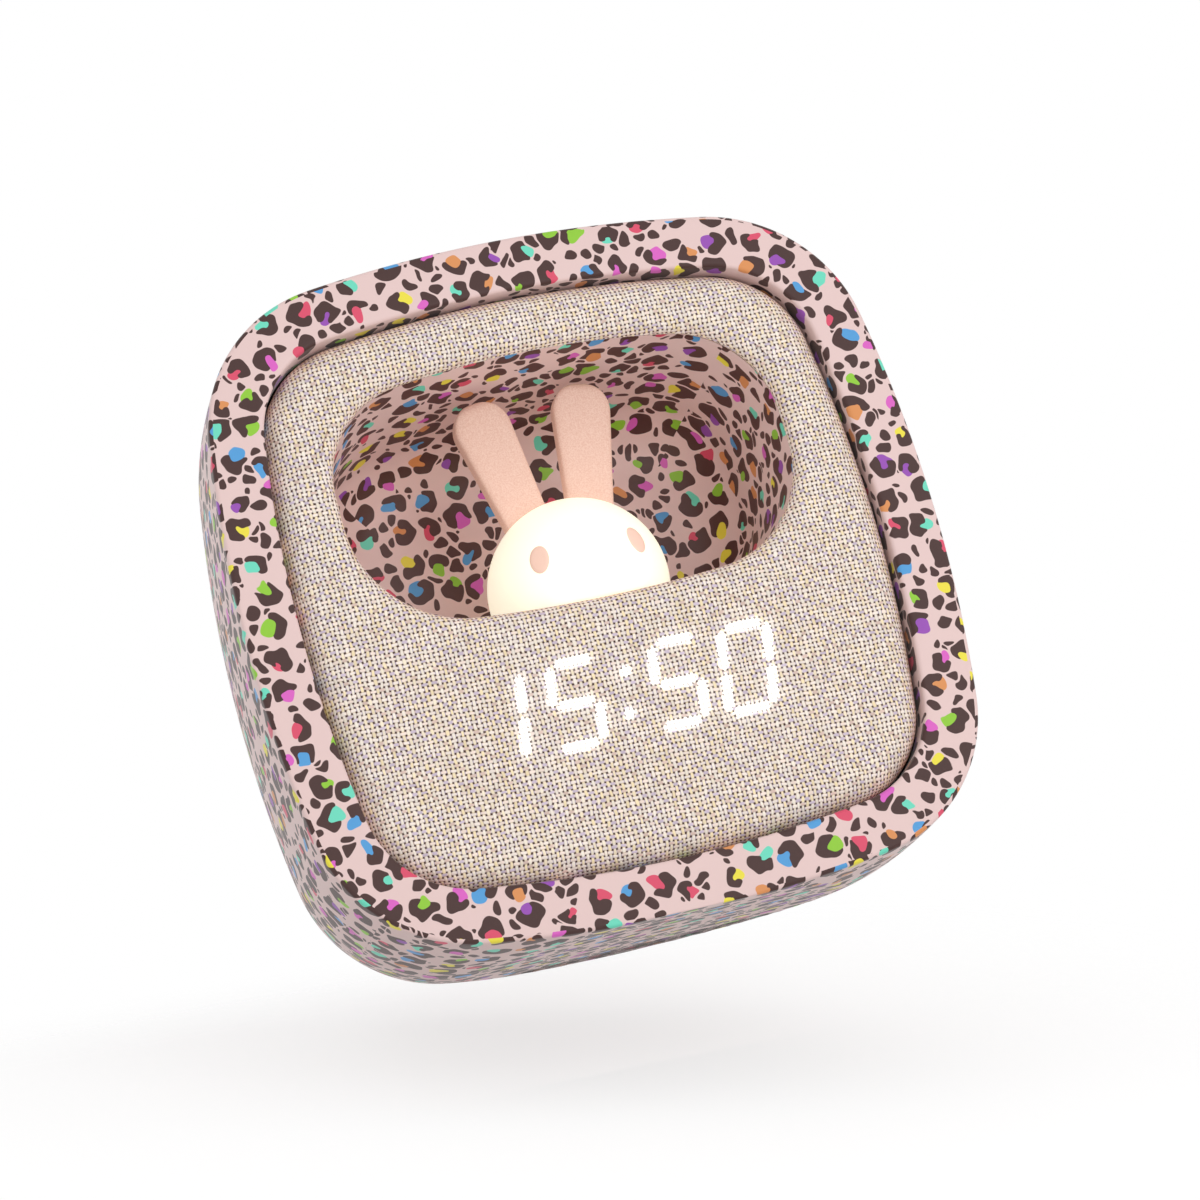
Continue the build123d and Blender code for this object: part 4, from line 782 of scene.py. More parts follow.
class Wiring:
    """Adds nodes to one tree. An input takes a number, a colour or a signal."""

    def __init__(self, tree):
        self.tree = tree

    def fill(self, inputs, values):
        """Fills inputs by name or number. Signals in a list all go into the same input."""
        for key, value in values.items():
            for one in value if isinstance(value, list) else [value]:
                if isinstance(one, Signal):
                    self.tree.links.new(one.socket, inputs[key])
                else:
                    inputs[key].default_value = one

    def add(self, kind, values=(), **settings):
        made = self.tree.nodes.new(kind)
        row, column = divmod(len(self.tree.nodes), NODES_IN_ROW)
        made.location = (NODE_STEP[0] * column, -NODE_STEP[1] * row)
        for key, value in settings.items():
            setattr(made, key, value)
        self.fill(made.inputs, values if isinstance(values, dict) else dict(enumerate(values)))
        return made

    def node(self, kind, values=(), **settings):
        return Outputs(self, self.add(kind, values, **settings).outputs)

    def math(self, operation, *values):
        return self.node("ShaderNodeMath", values, operation=operation)[0]

    def larger(self, first, second):
        return self.math("MAXIMUM", first, second)

    def vector(self, operation, *values):
        single = operation in ("LENGTH", "DISTANCE")
        made = self.node("ShaderNodeVectorMath", values, operation=operation)
        return made["Value" if single else "Vector"]

    def scaled(self, vector, factor):
        values = {"Vector": vector, "Scale": factor}
        return self.node("ShaderNodeVectorMath", values, operation="SCALE")["Vector"]

    def turned(self, vector, angle):
        values = {"Vector": vector, "Angle": angle}
        return self.node("ShaderNodeVectorRotate", values, rotation_type="Z_AXIS")[0]

    def parts(self, vector):
        return self.node("ShaderNodeSeparateXYZ", [vector])

    def join(self, x, y, z=0.0):
        return self.node("ShaderNodeCombineXYZ", [x, y, z])[0]

    def mix(self, share, first, second):
        """A colour between two. The colour sockets of this node are numbers 6 and 7."""
        return self.node("ShaderNodeMix", {0: share, 6: first, 7: second}, data_type="RGBA")[2]

    def step(self, value, low, high):
        """Rises smoothly from 0 to 1 while value goes from low to high."""
        values = {"Value": value, "From Min": low, "From Max": high}
        return self.node("ShaderNodeMapRange", values, interpolation_type="SMOOTHSTEP")["Result"]

    def spread(self, value, low, high):
        """Carries a value from 0 to 1 on to the span from low to high."""
        return self.math("MULTIPLY_ADD", value, high - low, low)

    def group(self, tree, **values):
        """A group node. An underscore in a name stands for a space."""
        values = {key.replace("_", " "): value for key, value in values.items()}
        return self.node("ShaderNodeGroup", values, node_tree=tree)


print("wiring knows", [name for name in vars(Wiring) if not name.startswith("_")])

# %% Noise, cells and bands
class Patterns(Wiring):
    """Wiring with the textures that the finishes of the clock are made of."""

    def noise(self, place, scale, detail=2.0):
        values = {"Vector": place, "Scale": scale, "Detail": detail}
        return self.node("ShaderNodeTexNoise", values)

    def nudged(self, place, scale, detail, reach):
        """A place moved a little by soft noise, so that nothing looks ruled."""
        noise = self.noise(place, scale, detail)["Color"]
        noise = self.vector("SUBTRACT", noise, (0.5, 0.5, 0.5))
        return self.vector("ADD", place, self.scaled(noise, reach))

    def cells(self, place, pitch, scatter=1.0, feature="F1"):
        values = {"Vector": place, "Scale": 1 / pitch, "Randomness": scatter}
        settings = {"voronoi_dimensions": "2D", "feature": feature}
        return self.node("ShaderNodeTexVoronoi", values, **settings)

    def luck(self, cell):
        """A chance value from 0 to 1 that stays the same all over a cell."""
        return self.node("ShaderNodeTexWhiteNoise", [cell], noise_dimensions="2D")["Value"]

    def bands(self, value, stops):
        """One of several colours: each holds from its own place up to the next."""
        ramp = self.add("ShaderNodeValToRGB", [value])
        ramp.color_ramp.interpolation = "CONSTANT"
        while len(ramp.color_ramp.elements) < len(stops):
            ramp.color_ramp.elements.new(0.9)
        for element, (place, code) in zip(ramp.color_ramp.elements, stops):
            element.position = place
            element.color = ink(code)
        return Signal(self, ramp.outputs["Color"])

    def relief(self, height, strength, distance):
        values = {"Strength": strength, "Distance": distance, "Height": height}
        return self.node("ShaderNodeBump", values)[0]

    def pattern_map(self):
        """The pattern map of a piece, in millimetres."""
        return self.node("ShaderNodeUVMap", uv_map=MAP_NAME)[0]

    def body_place(self):
        """The place in the clock, in millimetres, for pieces without a pattern map."""
        return self.scaled(self.node("ShaderNodeTexCoord")["Object"], 1000.0)


def ink(code, strength=1.0):
    """Linear colour of a six-figure paint code."""
    values = [int(code[i : i + 2], 16) / 255 for i in (0, 2, 4)]
    linear = [v / 12.92 if v <= 0.04045 else ((v + 0.055) / 1.055) ** 2.4 for v in values]
    return (*[value * strength for value in linear], 1)


print("half grey in linear light", round(ink("808080")[0], 3))

# %% Groups and materials
def new_group(name, takes, gives, kind="ShaderNodeTree"):
    """A node group with named inputs and outputs, each given as name: kind."""
    tree = bpy.data.node_groups.new(name, kind)
    for way, items in (("INPUT", takes), ("OUTPUT", gives)):
        for label, socket in items.items():
            tree.interface.new_socket(label, in_out=way, socket_type="NodeSocket" + socket)
    w = Patterns(tree)
    return w, w.node("NodeGroupInput"), w.add("NodeGroupOutput").inputs


def finish_group(w, give, **values):
    """Wires up what a group gives, and says how large it is."""
    w.fill(give, values)
    print(w.tree.name, len(w.tree.nodes), "nodes")
    return w.tree


def finish_with(name):
    """A new material with an empty board: its wiring, the main shader and the surface socket."""
    material = bpy.data.materials.new(name)
    material.use_nodes = True
    nodes = material.node_tree.nodes
    surface = nodes["Material Output"].inputs["Surface"]
    return material, Patterns(material.node_tree), nodes["Principled BSDF"].inputs, surface


def paint_on(material, *pieces):
    """Gives pieces their only material."""
    for piece in pieces:
        piece.data.materials.clear()
        piece.data.materials.append(material)
    print(material.name, "on", [piece.name for piece in pieces])


print("materials before any finish is made", len(bpy.data.materials))

# %% [markdown]
# ## The leopard print
#
# The print on the real clock is a film transfer in flat inks. A rosette is a thick open ring,
# like the letter C, with a blob of bright colour in its mouth. A picture of it would blur and
# repeat, so it is drawn by rule. A cell pattern scatters one rosette in each cell, turned by
# chance, and the distance to the border of the cell trims it, so two rosettes never touch. The
# distance to the C is the one drawing rule: inside the mouth it is measured to the nearer arm
# end, elsewhere to the ring. Small dark crumbs fill the free ground between the rosettes.

# %% Depth inside an open ring
BACK_THICKER = 0.24


def open_ring_group():
    """How deep a point is inside a C whose mouth looks along x. Negative outside."""
    takes = {"Point": "Vector", "Radius": "Float", "Half width": "Float", "Half mouth": "Float"}
    w, take, give = new_group("open_ring", takes, {"Depth": "Float"})
    x, y, _ = w.parts(take["Point"])
    y = w.math("ABSOLUTE", y)
    angle = w.math("ARCTAN2", y, x)
    in_mouth = w.math("LESS_THAN", angle, take["Half mouth"])
    end_x = w.math("COSINE", take["Half mouth"]) * take["Radius"]
    end_y = w.math("SINE", take["Half mouth"]) * take["Radius"]
    to_end = w.vector("DISTANCE", w.join(x, y), w.join(end_x, end_y))
    to_ring = w.math("ABSOLUTE", w.vector("LENGTH", w.join(x, y)) - take["Radius"])
    nearest = to_ring + in_mouth * (to_end - to_ring)
    width = take["Half width"] * (1.0 - w.math("COSINE", angle) * BACK_THICKER)
    return finish_group(w, give, Depth=width - nearest)


OPEN_RING = open_ring_group()

# %% Field of rosettes
PRINT_PITCH = 4.9
PRINT_SCATTER = 0.5
ROSETTE_SIZES = (0.86, 1.2)
ROSETTE_STRETCH = (1.12, 0.9)
ROSETTE_MOUTHS = (0.95, 1.75)
RING_RADIUS = 1.08
RING_HALF_WIDTH = 0.68
BLOB_PLACE = (0.66, 0.0, 0.0)
BLOB_RADIUS = 0.98
BLOB_INSIDE = 0.1
BLOB_BITE = 4.0
CELL_MARGIN = 0.14
PRINT_ROUND = 0.8
MORE_CHANCE = (3.7, 7.31)


def rosettes_group():
    """Depth inside the rosettes and inside their blobs, and a chance value per rosette."""
    gives = {"Dark": "Float", "Blob": "Float", "Chance": "Float"}
    w, take, give = new_group("rosettes", {"Map": "Vector"}, gives)
    nearest = w.cells(take["Map"], PRINT_PITCH, PRINT_SCATTER)
    border = w.cells(take["Map"], PRINT_PITCH, PRINT_SCATTER, "DISTANCE_TO_EDGE")["Distance"]
    trim = border * PRINT_PITCH - CELL_MARGIN
    chance_turn, chance_size, chance_shape = w.parts(nearest["Color"])
    offset = w.vector("SUBTRACT", take["Map"], nearest["Position"])
    place = w.turned(offset, chance_turn * (2 * pi))
    place = w.scaled(place, 1.0 / w.spread(chance_size, *ROSETTE_SIZES))
    stretch = w.join(w.spread(chance_shape, *ROSETTE_STRETCH), 1.0)
    place = w.vector("MULTIPLY", place, stretch)
    ring = {"Point": place, "Radius": RING_RADIUS, "Half_width": RING_HALF_WIDTH}
    mouth = w.spread(chance_shape, *ROSETTE_MOUTHS)
    ring = w.group(OPEN_RING, Half_mouth=mouth, **ring)["Depth"]
    blob = BLOB_RADIUS - w.vector("LENGTH", w.vector("SUBTRACT", place, BLOB_PLACE))
    # On half of the rosettes the blob lies over the ring. More chance values come from the
    # decimals of the first one, multiplied.
    chance_top, chance_ink = [w.math("FRACT", chance_turn * more) for more in MORE_CHANCE]
    on_top = w.math("GREATER_THAN", chance_top, 0.5)
    cover = (blob - BLOB_INSIDE) * on_top
    ring = ring - w.larger(cover, 0.0) * BLOB_BITE
    dark = w.math("SMOOTH_MIN", ring, trim, PRINT_ROUND)
    blob = w.math("SMOOTH_MIN", blob, trim, PRINT_ROUND)
    return finish_group(w, give, Dark=dark, Blob=blob, Chance=chance_ink)


ROSETTES = rosettes_group()

# %% Crumbs between the rosettes
CRUMB_PITCH = 2.45
CRUMB_SHIFT = (31.7, 12.3, 0)
CRUMB_STRETCH = (0.75, 1.1, 0)
CRUMB_REACH = (0.55, 1.1)
LEAST_CRUMB = 0.3
GONE = 3.0
CRUMB_ROOM = 0.06
CRUMB_MARGIN = 0.1
CRUMB_ROUND = 0.6
CLEAR_OF_ROSETTES = 0.26
CLEAR_ROUND = 0.5


def crumbs_group():
    """Depth inside the crumbs. Around is the depth inside the rosettes at the same place."""
    takes = {"Map": "Vector", "Around": "Float"}
    w, take, give = new_group("crumbs", takes, {"Depth": "Float"})
    shifted = w.vector("ADD", take["Map"], CRUMB_SHIFT)
    crumb = w.cells(shifted, CRUMB_PITCH)
    border = w.cells(shifted, CRUMB_PITCH, feature="DISTANCE_TO_EDGE")["Distance"]
    centre = w.vector("SUBTRACT", crumb["Position"], CRUMB_SHIFT)
    room = w.group(ROSETTES, Map=centre)
    free = -CRUMB_ROOM - w.larger(room["Dark"], room["Blob"])
    chance_turn, chance_size, _ = w.parts(crumb["Color"])
    reach = w.math("MINIMUM", w.spread(chance_size, *CRUMB_REACH), free)
    # A crumb that has too little room is drawn in until nothing of it is left.
    reach = reach - w.math("LESS_THAN", reach, LEAST_CRUMB) * GONE
    offset = w.vector("SUBTRACT", take["Map"], centre)
    offset = w.vector("MULTIPLY", w.turned(offset, chance_turn * (2 * pi)), CRUMB_STRETCH)
    depth = reach - w.vector("LENGTH", offset)
    trim = border * CRUMB_PITCH - CRUMB_MARGIN
    depth = w.math("SMOOTH_MIN", depth, trim, CRUMB_ROUND)
    depth = w.math("SMOOTH_MIN", depth, -CLEAR_OF_ROSETTES - take["Around"], CLEAR_ROUND)
    return finish_group(w, give, Depth=depth)


CRUMBS = crumbs_group()

# %% The whole print
BLOB_INKS = ("9A50B8", "70E0C4", "E066C8", "E0955A", "E0506E", "F2E548", "55A2DE", "93CF3A")
BLOB_BANDS = [(number / len(BLOB_INKS), code) for number, code in enumerate(BLOB_INKS)]
PRINT_WOBBLE = (0.45, 0.0, 1.8)
INK_EDGE = 0.03


def print_group():
    """Colour of the leopard print at a place on the pattern map."""
    takes = {"Map": "Vector", "Ground": "Color", "Dark": "Color"}
    w, take, give = new_group("leopard_print", takes, {"Color": "Color"})
    place = w.nudged(take["Map"], *PRINT_WOBBLE)
    rosette = w.group(ROSETTES, Map=place)
    around = w.larger(rosette["Dark"], rosette["Blob"])
    crumb = w.group(CRUMBS, Map=place, Around=around)["Depth"]
    dark = w.larger(rosette["Dark"], crumb)
    bright = w.bands(rosette["Chance"], BLOB_BANDS)
    colour = w.mix(w.step(rosette["Blob"], -INK_EDGE, INK_EDGE), take["Ground"], bright)
    colour = w.mix(w.step(dark, -INK_EDGE, INK_EDGE), colour, take["Dark"])
    return finish_group(w, give, Color=colour)


LEOPARD = print_group()

# %% [markdown]
# ## Two printed surfaces
#
# The sleeve is matte silicone, so its print is a little dusty and pales where the light grazes
# it: that is a touch of sheen, and a paler ink could not do it. The recess is smooth plastic with
# the same print in a deeper, warmer tone.

# %% Printed silicone and printed plastic
silicone, w, shader, _ = finish_with("printed_silicone")
inks = {"Ground": ink("E9CDCA"), "Dark": ink("442926")}
grain = w.noise(w.pattern_map(), 9.0)[0]
w.fill(shader, {
    "Base Color": w.group(LEOPARD, Map=w.pattern_map(), **inks)["Color"],
    "Roughness": 0.5,
    "IOR": 1.43,
    "Sheen Weight": 0.25,
    "Sheen Roughness": 0.4,
    "Normal": w.relief(grain, 0.12, 0.0001),
})
paint_on(silicone, sleeve)

plastic, w, shader, _ = finish_with("printed_plastic")
inks = {"Ground": ink("F2D5D2"), "Dark": ink("54332F")}
colour = w.group(LEOPARD, Map=w.pattern_map(), **inks)["Color"]
w.fill(shader, {"Base Color": colour, "Roughness": 0.42})
paint_on(plastic, recess)

# %% [markdown]
# ## The woven cloth
#
# A plain weave is a chessboard of crossings: on one colour of square the upright yarn is on
# top, on the other the level yarn. Modelled yarns would take millions of faces, so they are a
# relief. Each yarn is a round strand that rises over one crossing and dives under the next, and
# the higher strand wins. The upright yarns are cream and pale yellow, the level ones change
# between cream, lilac and rose along their length, which gives the mottled look of real cloth.
# Where the yarns lie low, between them and on their flanks, their colour is drawn towards a dark
# brown: that is painted shade.

# %% Plain weave
WEAVE_PITCH = 0.68
WEAVE_DRIFT = (0.35, 2.0, 0.7)
YARN_THIN = 0.24
YARN_THICK = 0.44
YARN_WAVE = 0.3
YARN_SHADES = (0.87, 1.05)
SHADE_LUCK = 17.0
TINT_SHARE = 0.4
TINT_SPAN = (0.3, 0.8)
LEVEL_LUCK = 0.4
LEVEL_MOVES = (0.382, 0.276)
# Heights of the yarns over which the painted shade of the gaps fades out.
GAP_SHADE_DEPTHS = (0.05, 0.72)
LEVEL_YARNS = ((0.0, "FFF3EA"), (0.34, "DACBDD"), (0.64, "E8CFC4"), (0.76, "FFEDE2"))


def weave_height(w, take, u, v, column, row):
    """Heights of the upright and the level yarns: round across, and waving along."""
    thick = w.spread(w.noise(take["Map"], 1.1, 1.0)[0], YARN_THIN, YARN_THICK)
    heights = []
    for across, along, shift, sign in ((u - column, v, column, 1), (v - row, u, row, -1)):
        share = (across - 0.5) / thick
        strand = w.math("SQRT", w.larger(1.0 - share * share, 0.0))
        wave = w.math("COSINE", (along - 0.5 + shift) * pi)
        heights.append(strand * w.math("MULTIPLY_ADD", wave, YARN_WAVE * sign, 1 - YARN_WAVE))
    return heights


def weave_group():
    """Height and colour of a plain weave, from a pattern map in millimetres."""
    gives = {"Color": "Color", "Height": "Float", "Crossing": "Vector"}
    w, take, give = new_group("plain_weave", {"Map": "Vector"}, gives)
    place = w.nudged(take["Map"], *WEAVE_DRIFT)
    u, v, _ = w.parts(w.scaled(place, 1 / WEAVE_PITCH))
    column = w.math("FLOOR", u)
    row = w.math("FLOOR", v)
    upright, level = weave_height(w, take, u, v, column, row)
    top = w.larger(upright, level)
    crossing = w.join(column, row)
    luck = w.luck(crossing)
    yarn_luck = w.node("ShaderNodeTexWhiteNoise", {"W": column}, noise_dimensions="1D")["Value"]
    # Every upright yarn has a tint of its own, and every crossing differs a little from it.
    tint = w.step(luck * (1 - TINT_SHARE) + yarn_luck * TINT_SHARE, *TINT_SPAN)
    upright_colour = w.mix(tint, ink("FFF6EA"), ink("FFEDC4"))
    # The colour of the level yarns moves on from crossing to crossing, with a share of chance.
    moved = column * LEVEL_MOVES[0] + row * LEVEL_MOVES[1]
    along_yarn = w.math("FRACT", luck * LEVEL_LUCK + moved)
    level_colour = w.bands(along_yarn, LEVEL_YARNS)
    colour = w.mix(w.math("GREATER_THAN", level, upright), upright_colour, level_colour)
    colour = w.scaled(colour, w.spread(w.math("FRACT", luck * SHADE_LUCK), *YARN_SHADES))
    # Painted shade: the low places of the weave, in the gaps and on the flanks of the yarns, go
    # dark brown.
    colour = w.mix(w.step(top, *GAP_SHADE_DEPTHS), ink("4C3732"), colour)
    return finish_group(w, give, Color=colour, Height=top, Crossing=crossing)


WEAVE = weave_group()

# %% [markdown]
# ## Digits painted as a glow on the cloth
#
# On the real clock a mask behind the cloth lets light through in seven-segment shapes. Here that
# light is painted: the cloth itself glows in those shapes, with a faint painted halo round them.
# Letters cut from a font would look wrong, since every lit bar is a pointed strip. The slant of
# the digits is taken out first, so all bars are upright or level. The yarns fray the edges of the
# glow.

# %% Sizes of the digits
DISPLAY_HEIGHT = -19.2
DIGIT_MIDDLES = (-19.9, -8.5, 6.9, 17.4)
COLON_MIDDLE = -0.8
COLON_RADIUS = 0.95
DIGIT_RISE = 6.1
DIGIT_REACH = 3.45
DIGIT_SLANT = radians(9.5)
SEGMENT_LENGTH = 6.0
SEGMENT_WIDTH = 1.8
POINT_SLOPE = 0.8
BARS = {
    "top": (0, 1, False),
    "upper_right": (1, 0.5, True),
    "lower_right": (1, -0.5, True),
    "foot": (0, -1, False),
    "lower_left": (-1, -0.5, True),
    "upper_left": (-1, 0.5, True),
    "middle": (0, 0, False),
}
ONE = ("upper_right", "lower_right")
FIVE = ("top", "upper_left", "middle", "lower_right", "foot")
ZERO = ("top", "upper_right", "lower_right", "foot", "lower_left", "upper_left")
SHOWN = (ONE, FIVE, FIVE, ZERO)
print("lit bars", [len(bars) for bars in SHOWN])

# %% Lit bars
def bar_group():
    """How deep a point is inside a bar with pointed ends."""
    takes = {"Across": "Float", "Along": "Float"}
    w, take, give = new_group("pointed_bar", takes, {"Depth": "Float"})
    across = w.math("ABSOLUTE", take["Across"])
    along = w.math("ABSOLUTE", take["Along"])
    side = SEGMENT_WIDTH / 2 - across
    point = SEGMENT_LENGTH / 2 - along - across * POINT_SLOPE
    return finish_group(w, give, Depth=w.math("MINIMUM", side, point))


BAR = bar_group()


def digits_group():
    """How deep a point of the face is inside the lit bars, in millimetres."""
    w, take, give = new_group("clock_digits", {"Map": "Vector"}, {"Depth": "Float"})
    x, y, _ = w.parts(take["Map"])
    up = y - DISPLAY_HEIGHT
    straight = x - up * tan(DIGIT_SLANT)
    depths = []
    for middle, lit in zip(DIGIT_MIDDLES, SHOWN):
        for name in lit:
            column, level, is_upright = BARS[name]
            side = straight - (middle + column * DIGIT_REACH)
            rise = up - level * DIGIT_RISE
            across, along = (side, rise) if is_upright else (rise, side)
            depths.append(w.group(BAR, Across=across, Along=along)["Depth"])
    for level in (0.5, -0.5):
        dot = w.join(COLON_MIDDLE, level * DIGIT_RISE)
        depths.append(COLON_RADIUS - w.vector("DISTANCE", w.join(straight, up), dot))
    deepest = depths[0]
    for depth in depths[1:]:
        deepest = w.larger(deepest, depth)
    return finish_group(w, give, Depth=deepest)


DIGITS = digits_group()

# %% Cloth with the painted glow of the digits
FRAY = 0.14
YARN_FRAY = 0.12
CORE = (-0.12, 0.4)
HALO = (-1.6, 0.2)
HALO_SHARE = 0.12
DIGIT_LIGHT = 0.9

cloth_finish, w, shader, _ = finish_with("woven_cloth")
cloth_map = w.pattern_map()
weave = w.group(WEAVE, Map=cloth_map)
lit_depth = w.group(DIGITS, Map=cloth_map)["Depth"]
lit_depth = lit_depth + w.spread(w.luck(weave["Crossing"]), -FRAY, FRAY)
lit_depth = lit_depth + w.spread(weave["Height"], -YARN_FRAY, YARN_FRAY)
halo = w.step(lit_depth, *HALO) * HALO_SHARE
w.fill(shader, {
    "Base Color": weave["Color"],
    "Roughness": 0.85,
    "Specular IOR Level": 0.25,
    "Sheen Weight": 0.5,
    "Sheen Roughness": 0.5,
    # Painted bounce light: the rose sheen tint stands in for light thrown back by the pink rim
    # onto the rolls.
    "Sheen Tint": ink("FFB79E"),
    "Normal": w.relief(weave["Height"], 0.6, 0.0002),
    # Painted glow: the cloth itself gives the light of the digits and of a faint halo round them.
    "Emission Strength": w.larger(w.step(lit_depth, *CORE), halo) * DIGIT_LIGHT,
    "Emission Color": ink("FFFDF8"),
})
paint_on(cloth_finish, cloth)

# %% [markdown]
# ## The glowing rabbit
#
# The head is milky plastic with a lamp inside. A lamp behind a clouded shell would need slow
# scattered light, and a glow of its own gives the same even face. The ears are a softer pink
# plastic, and the light of the head in them is painted: a glow that is brighter at their roots
# than at their tips. The eyes get a faint painted glow as well. A very fine grain keeps the ears
# from looking like wax.

# %% Head, ears and eyes
EAR_GLOW = (0.22, 0.05)


def glowing(name, base, light, roughness, strength):
    """Plastic with a glow of its own: its material, wiring and shader inputs."""
    material, w, shader, _ = finish_with(name)
    w.fill(shader, {
        "Base Color": ink(base),
        "Roughness": roughness,
        "Emission Color": ink(light),
        "Emission Strength": strength,
    })
    return material, w, shader


head_finish, _, _ = glowing("milky_diffuser", "E4E0D2", "FFF6DA", 0.35, 0.68)
paint_on(head_finish, head)

ear_finish, w, shader = glowing("pink_diffuser", "E9BFAC", "FFC9AE", 0.6, EAR_GLOW[0])
# Painted light of the head in the ears: their glow fades with height from the roots to the tips.
ear_root = to_world([0, EAR_BASE[1], HEAD_CENTRE[2]])[2]
ear_top = to_world([0, EAR_TIP[1] + EAR_TIP_RADIUS, HEAD_CENTRE[2]])[2]
height = w.parts(w.node("ShaderNodeTexCoord")["Object"])[2]
height = {"Value": height, "From Min": ear_root, "From Max": ear_top}
share = w.node("ShaderNodeMapRange", height)["Result"]
grain = w.step(w.noise(w.body_place(), 5.0)[0], 0.3, 0.7)
w.fill(shader, {"Base Color": w.mix(grain, ink("DCB2A0"), ink("E9C8B9"))})
w.fill(shader, {"Emission Strength": w.spread(share, *EAR_GLOW)})
paint_on(ear_finish, bpy.data.objects["ear_left"], bpy.data.objects["ear_right"])

# The eyes are pink print with a faint painted glow of the lamp inside the head.
eye_finish, _, _ = glowing("pink_print", "F0CDBC", "FFCDB4", 0.5, 0.22)
paint_on(eye_finish, bpy.data.objects["eye_left"], bpy.data.objects["eye_right"])

# %% [markdown]
# ## Dust gauze behind the grille
#
# Behind the slots for the speaker lies a disc of fine gauze that keeps crumbs out. It could be
# painted on a flat disc, but light should fall through it. It is the same wire again and again,
# so Geometry Nodes lay it: a row of points, a wire on each that is as long as the disc is wide
# there, and the whole row once more, turned by a quarter. The sizes stay named inputs.

# %% Gauze tree
WIRE_SIDES = 6
WIRE_CROSSING = 1.6


def gauze_tree(material):
    """Two crossed rows of wires that fill a round disc."""
    takes = {"Pitch": "Float", "Wire": "Float", "Radius": "Float"}
    gives = {"Geometry": "Geometry"}
    w, take, give = new_group("round_gauze", takes, gives, kind="GeometryNodeTree")
    count = w.math("FLOOR", take["Radius"] * 2.0 / take["Pitch"])
    start = (count - 1.0) * take["Pitch"] * -0.5
    row = {"Count": count, "Start Location": w.join(start, 0.0)}
    row["Offset"] = w.join(take["Pitch"], 0.0)
    row = w.node("GeometryNodeMeshLine", row)[0]
    line = w.node("GeometryNodeCurvePrimitiveLine", {"Start": (0, -1, 0), "End": (0, 1, 0)})[0]
    wire = {"Resolution": WIRE_SIDES, "Radius": take["Wire"]}
    wire = w.node("GeometryNodeCurvePrimitiveCircle", wire)[0]
    wire = {"Curve": line, "Profile Curve": wire, "Fill Caps": True}
    wire = w.node("GeometryNodeCurveToMesh", wire)[0]
    x = w.parts(w.node("GeometryNodeInputPosition")[0])[0]
    square = w.math("POWER", take["Radius"], 2.0) - x * x
    reach = w.join(1.0, w.math("SQRT", w.larger(square, 0.0)), 1.0)
    laid = {"Points": row, "Instance": wire, "Scale": reach}
    warp = w.node("GeometryNodeInstanceOnPoints", laid)[0]
    weft = {"Geometry": warp, "Rotation": (0, 0, pi / 2)}
    weft["Translation"] = w.join(0.0, 0.0, take["Wire"] * WIRE_CROSSING)
    weft = w.node("GeometryNodeTransform", weft)[0]
    both = w.node("GeometryNodeJoinGeometry", {0: [warp, weft]})[0]
    solid = w.node("GeometryNodeRealizeInstances", [both])[0]
    finished = w.node("GeometryNodeSetMaterial", {"Geometry": solid, "Material": material})[0]
    return finish_group(w, give, Geometry=finished)


gauze_finish, w, shader, _ = finish_with("gauze")
w.fill(shader, {"Base Color": ink("3A3634"), "Roughness": 0.6})
gauze_nodes = gauze_tree(gauze_finish)

# %% Lay the gauze
GAUZE_PLACE = (0.0, -11.8, 69.5)
GAUZE = {"Pitch": 0.0005, "Wire": 0.00007, "Radius": 0.0101}

holder = bpy.data.objects.new("gauze_maker", bpy.data.meshes.new("gauze_maker"))
bpy.context.collection.objects.link(holder)
layer = holder.modifiers.new("gauze", "NODES")
layer.node_group = gauze_nodes
for item in gauze_nodes.interface.items_tree:
    if item.in_out == "INPUT":
        layer[item.identifier] = GAUZE[item.name]
made = holder.evaluated_get(bpy.context.evaluated_depsgraph_get())
gauze = bpy.data.objects.new("speaker_gauze", bpy.data.meshes.new_from_object(made))
bpy.data.objects.remove(holder)
bpy.context.collection.objects.link(gauze)
face_up = Vector((0, sin(LEAN), cos(LEAN)))
face_out = Vector((0, -cos(LEAN), sin(LEAN)))
stand = Matrix((Vector((1, 0, 0)), face_up, face_out)).transposed().to_4x4()
gauze.data.transform(Matrix.Translation(Vector(to_world(GAUZE_PLACE))) @ stand)
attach(gauze, "clock")
print("gauze faces", len(gauze.data.polygons))

# %% [markdown]
# ## Moulded parts
#
# Everything else keeps the shape of the solid model and only gets its finish. The moulded parts
# differ in colour, in gloss and in the spark texture of the mould, a fine even grain. Cutting
# that grain into the mesh would be wasted on parts that are mostly hidden, so it is a bump. The
# back cover and its buttons are the only ones that are seen from outside.

# %% Plastics, foam and paper
def moulded(name, colour, roughness, grain, *nodes):
    """Plastic with a mould grain of so many tenths of a millimetre, put on CAD nodes."""
    material, w, shader, _ = finish_with(name)
    noise = w.noise(w.body_place(), 10 / grain, 3.0)[0]
    w.fill(shader, {
        "Normal": w.relief(noise, 0.25, 0.00004),
        "Base Color": w.mix(w.step(noise, 0.35, 0.65), ink(colour), ink(colour, 1.08)),
        "Roughness": roughness,
    })
    paint_on(material, *[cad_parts[node] for node in nodes])


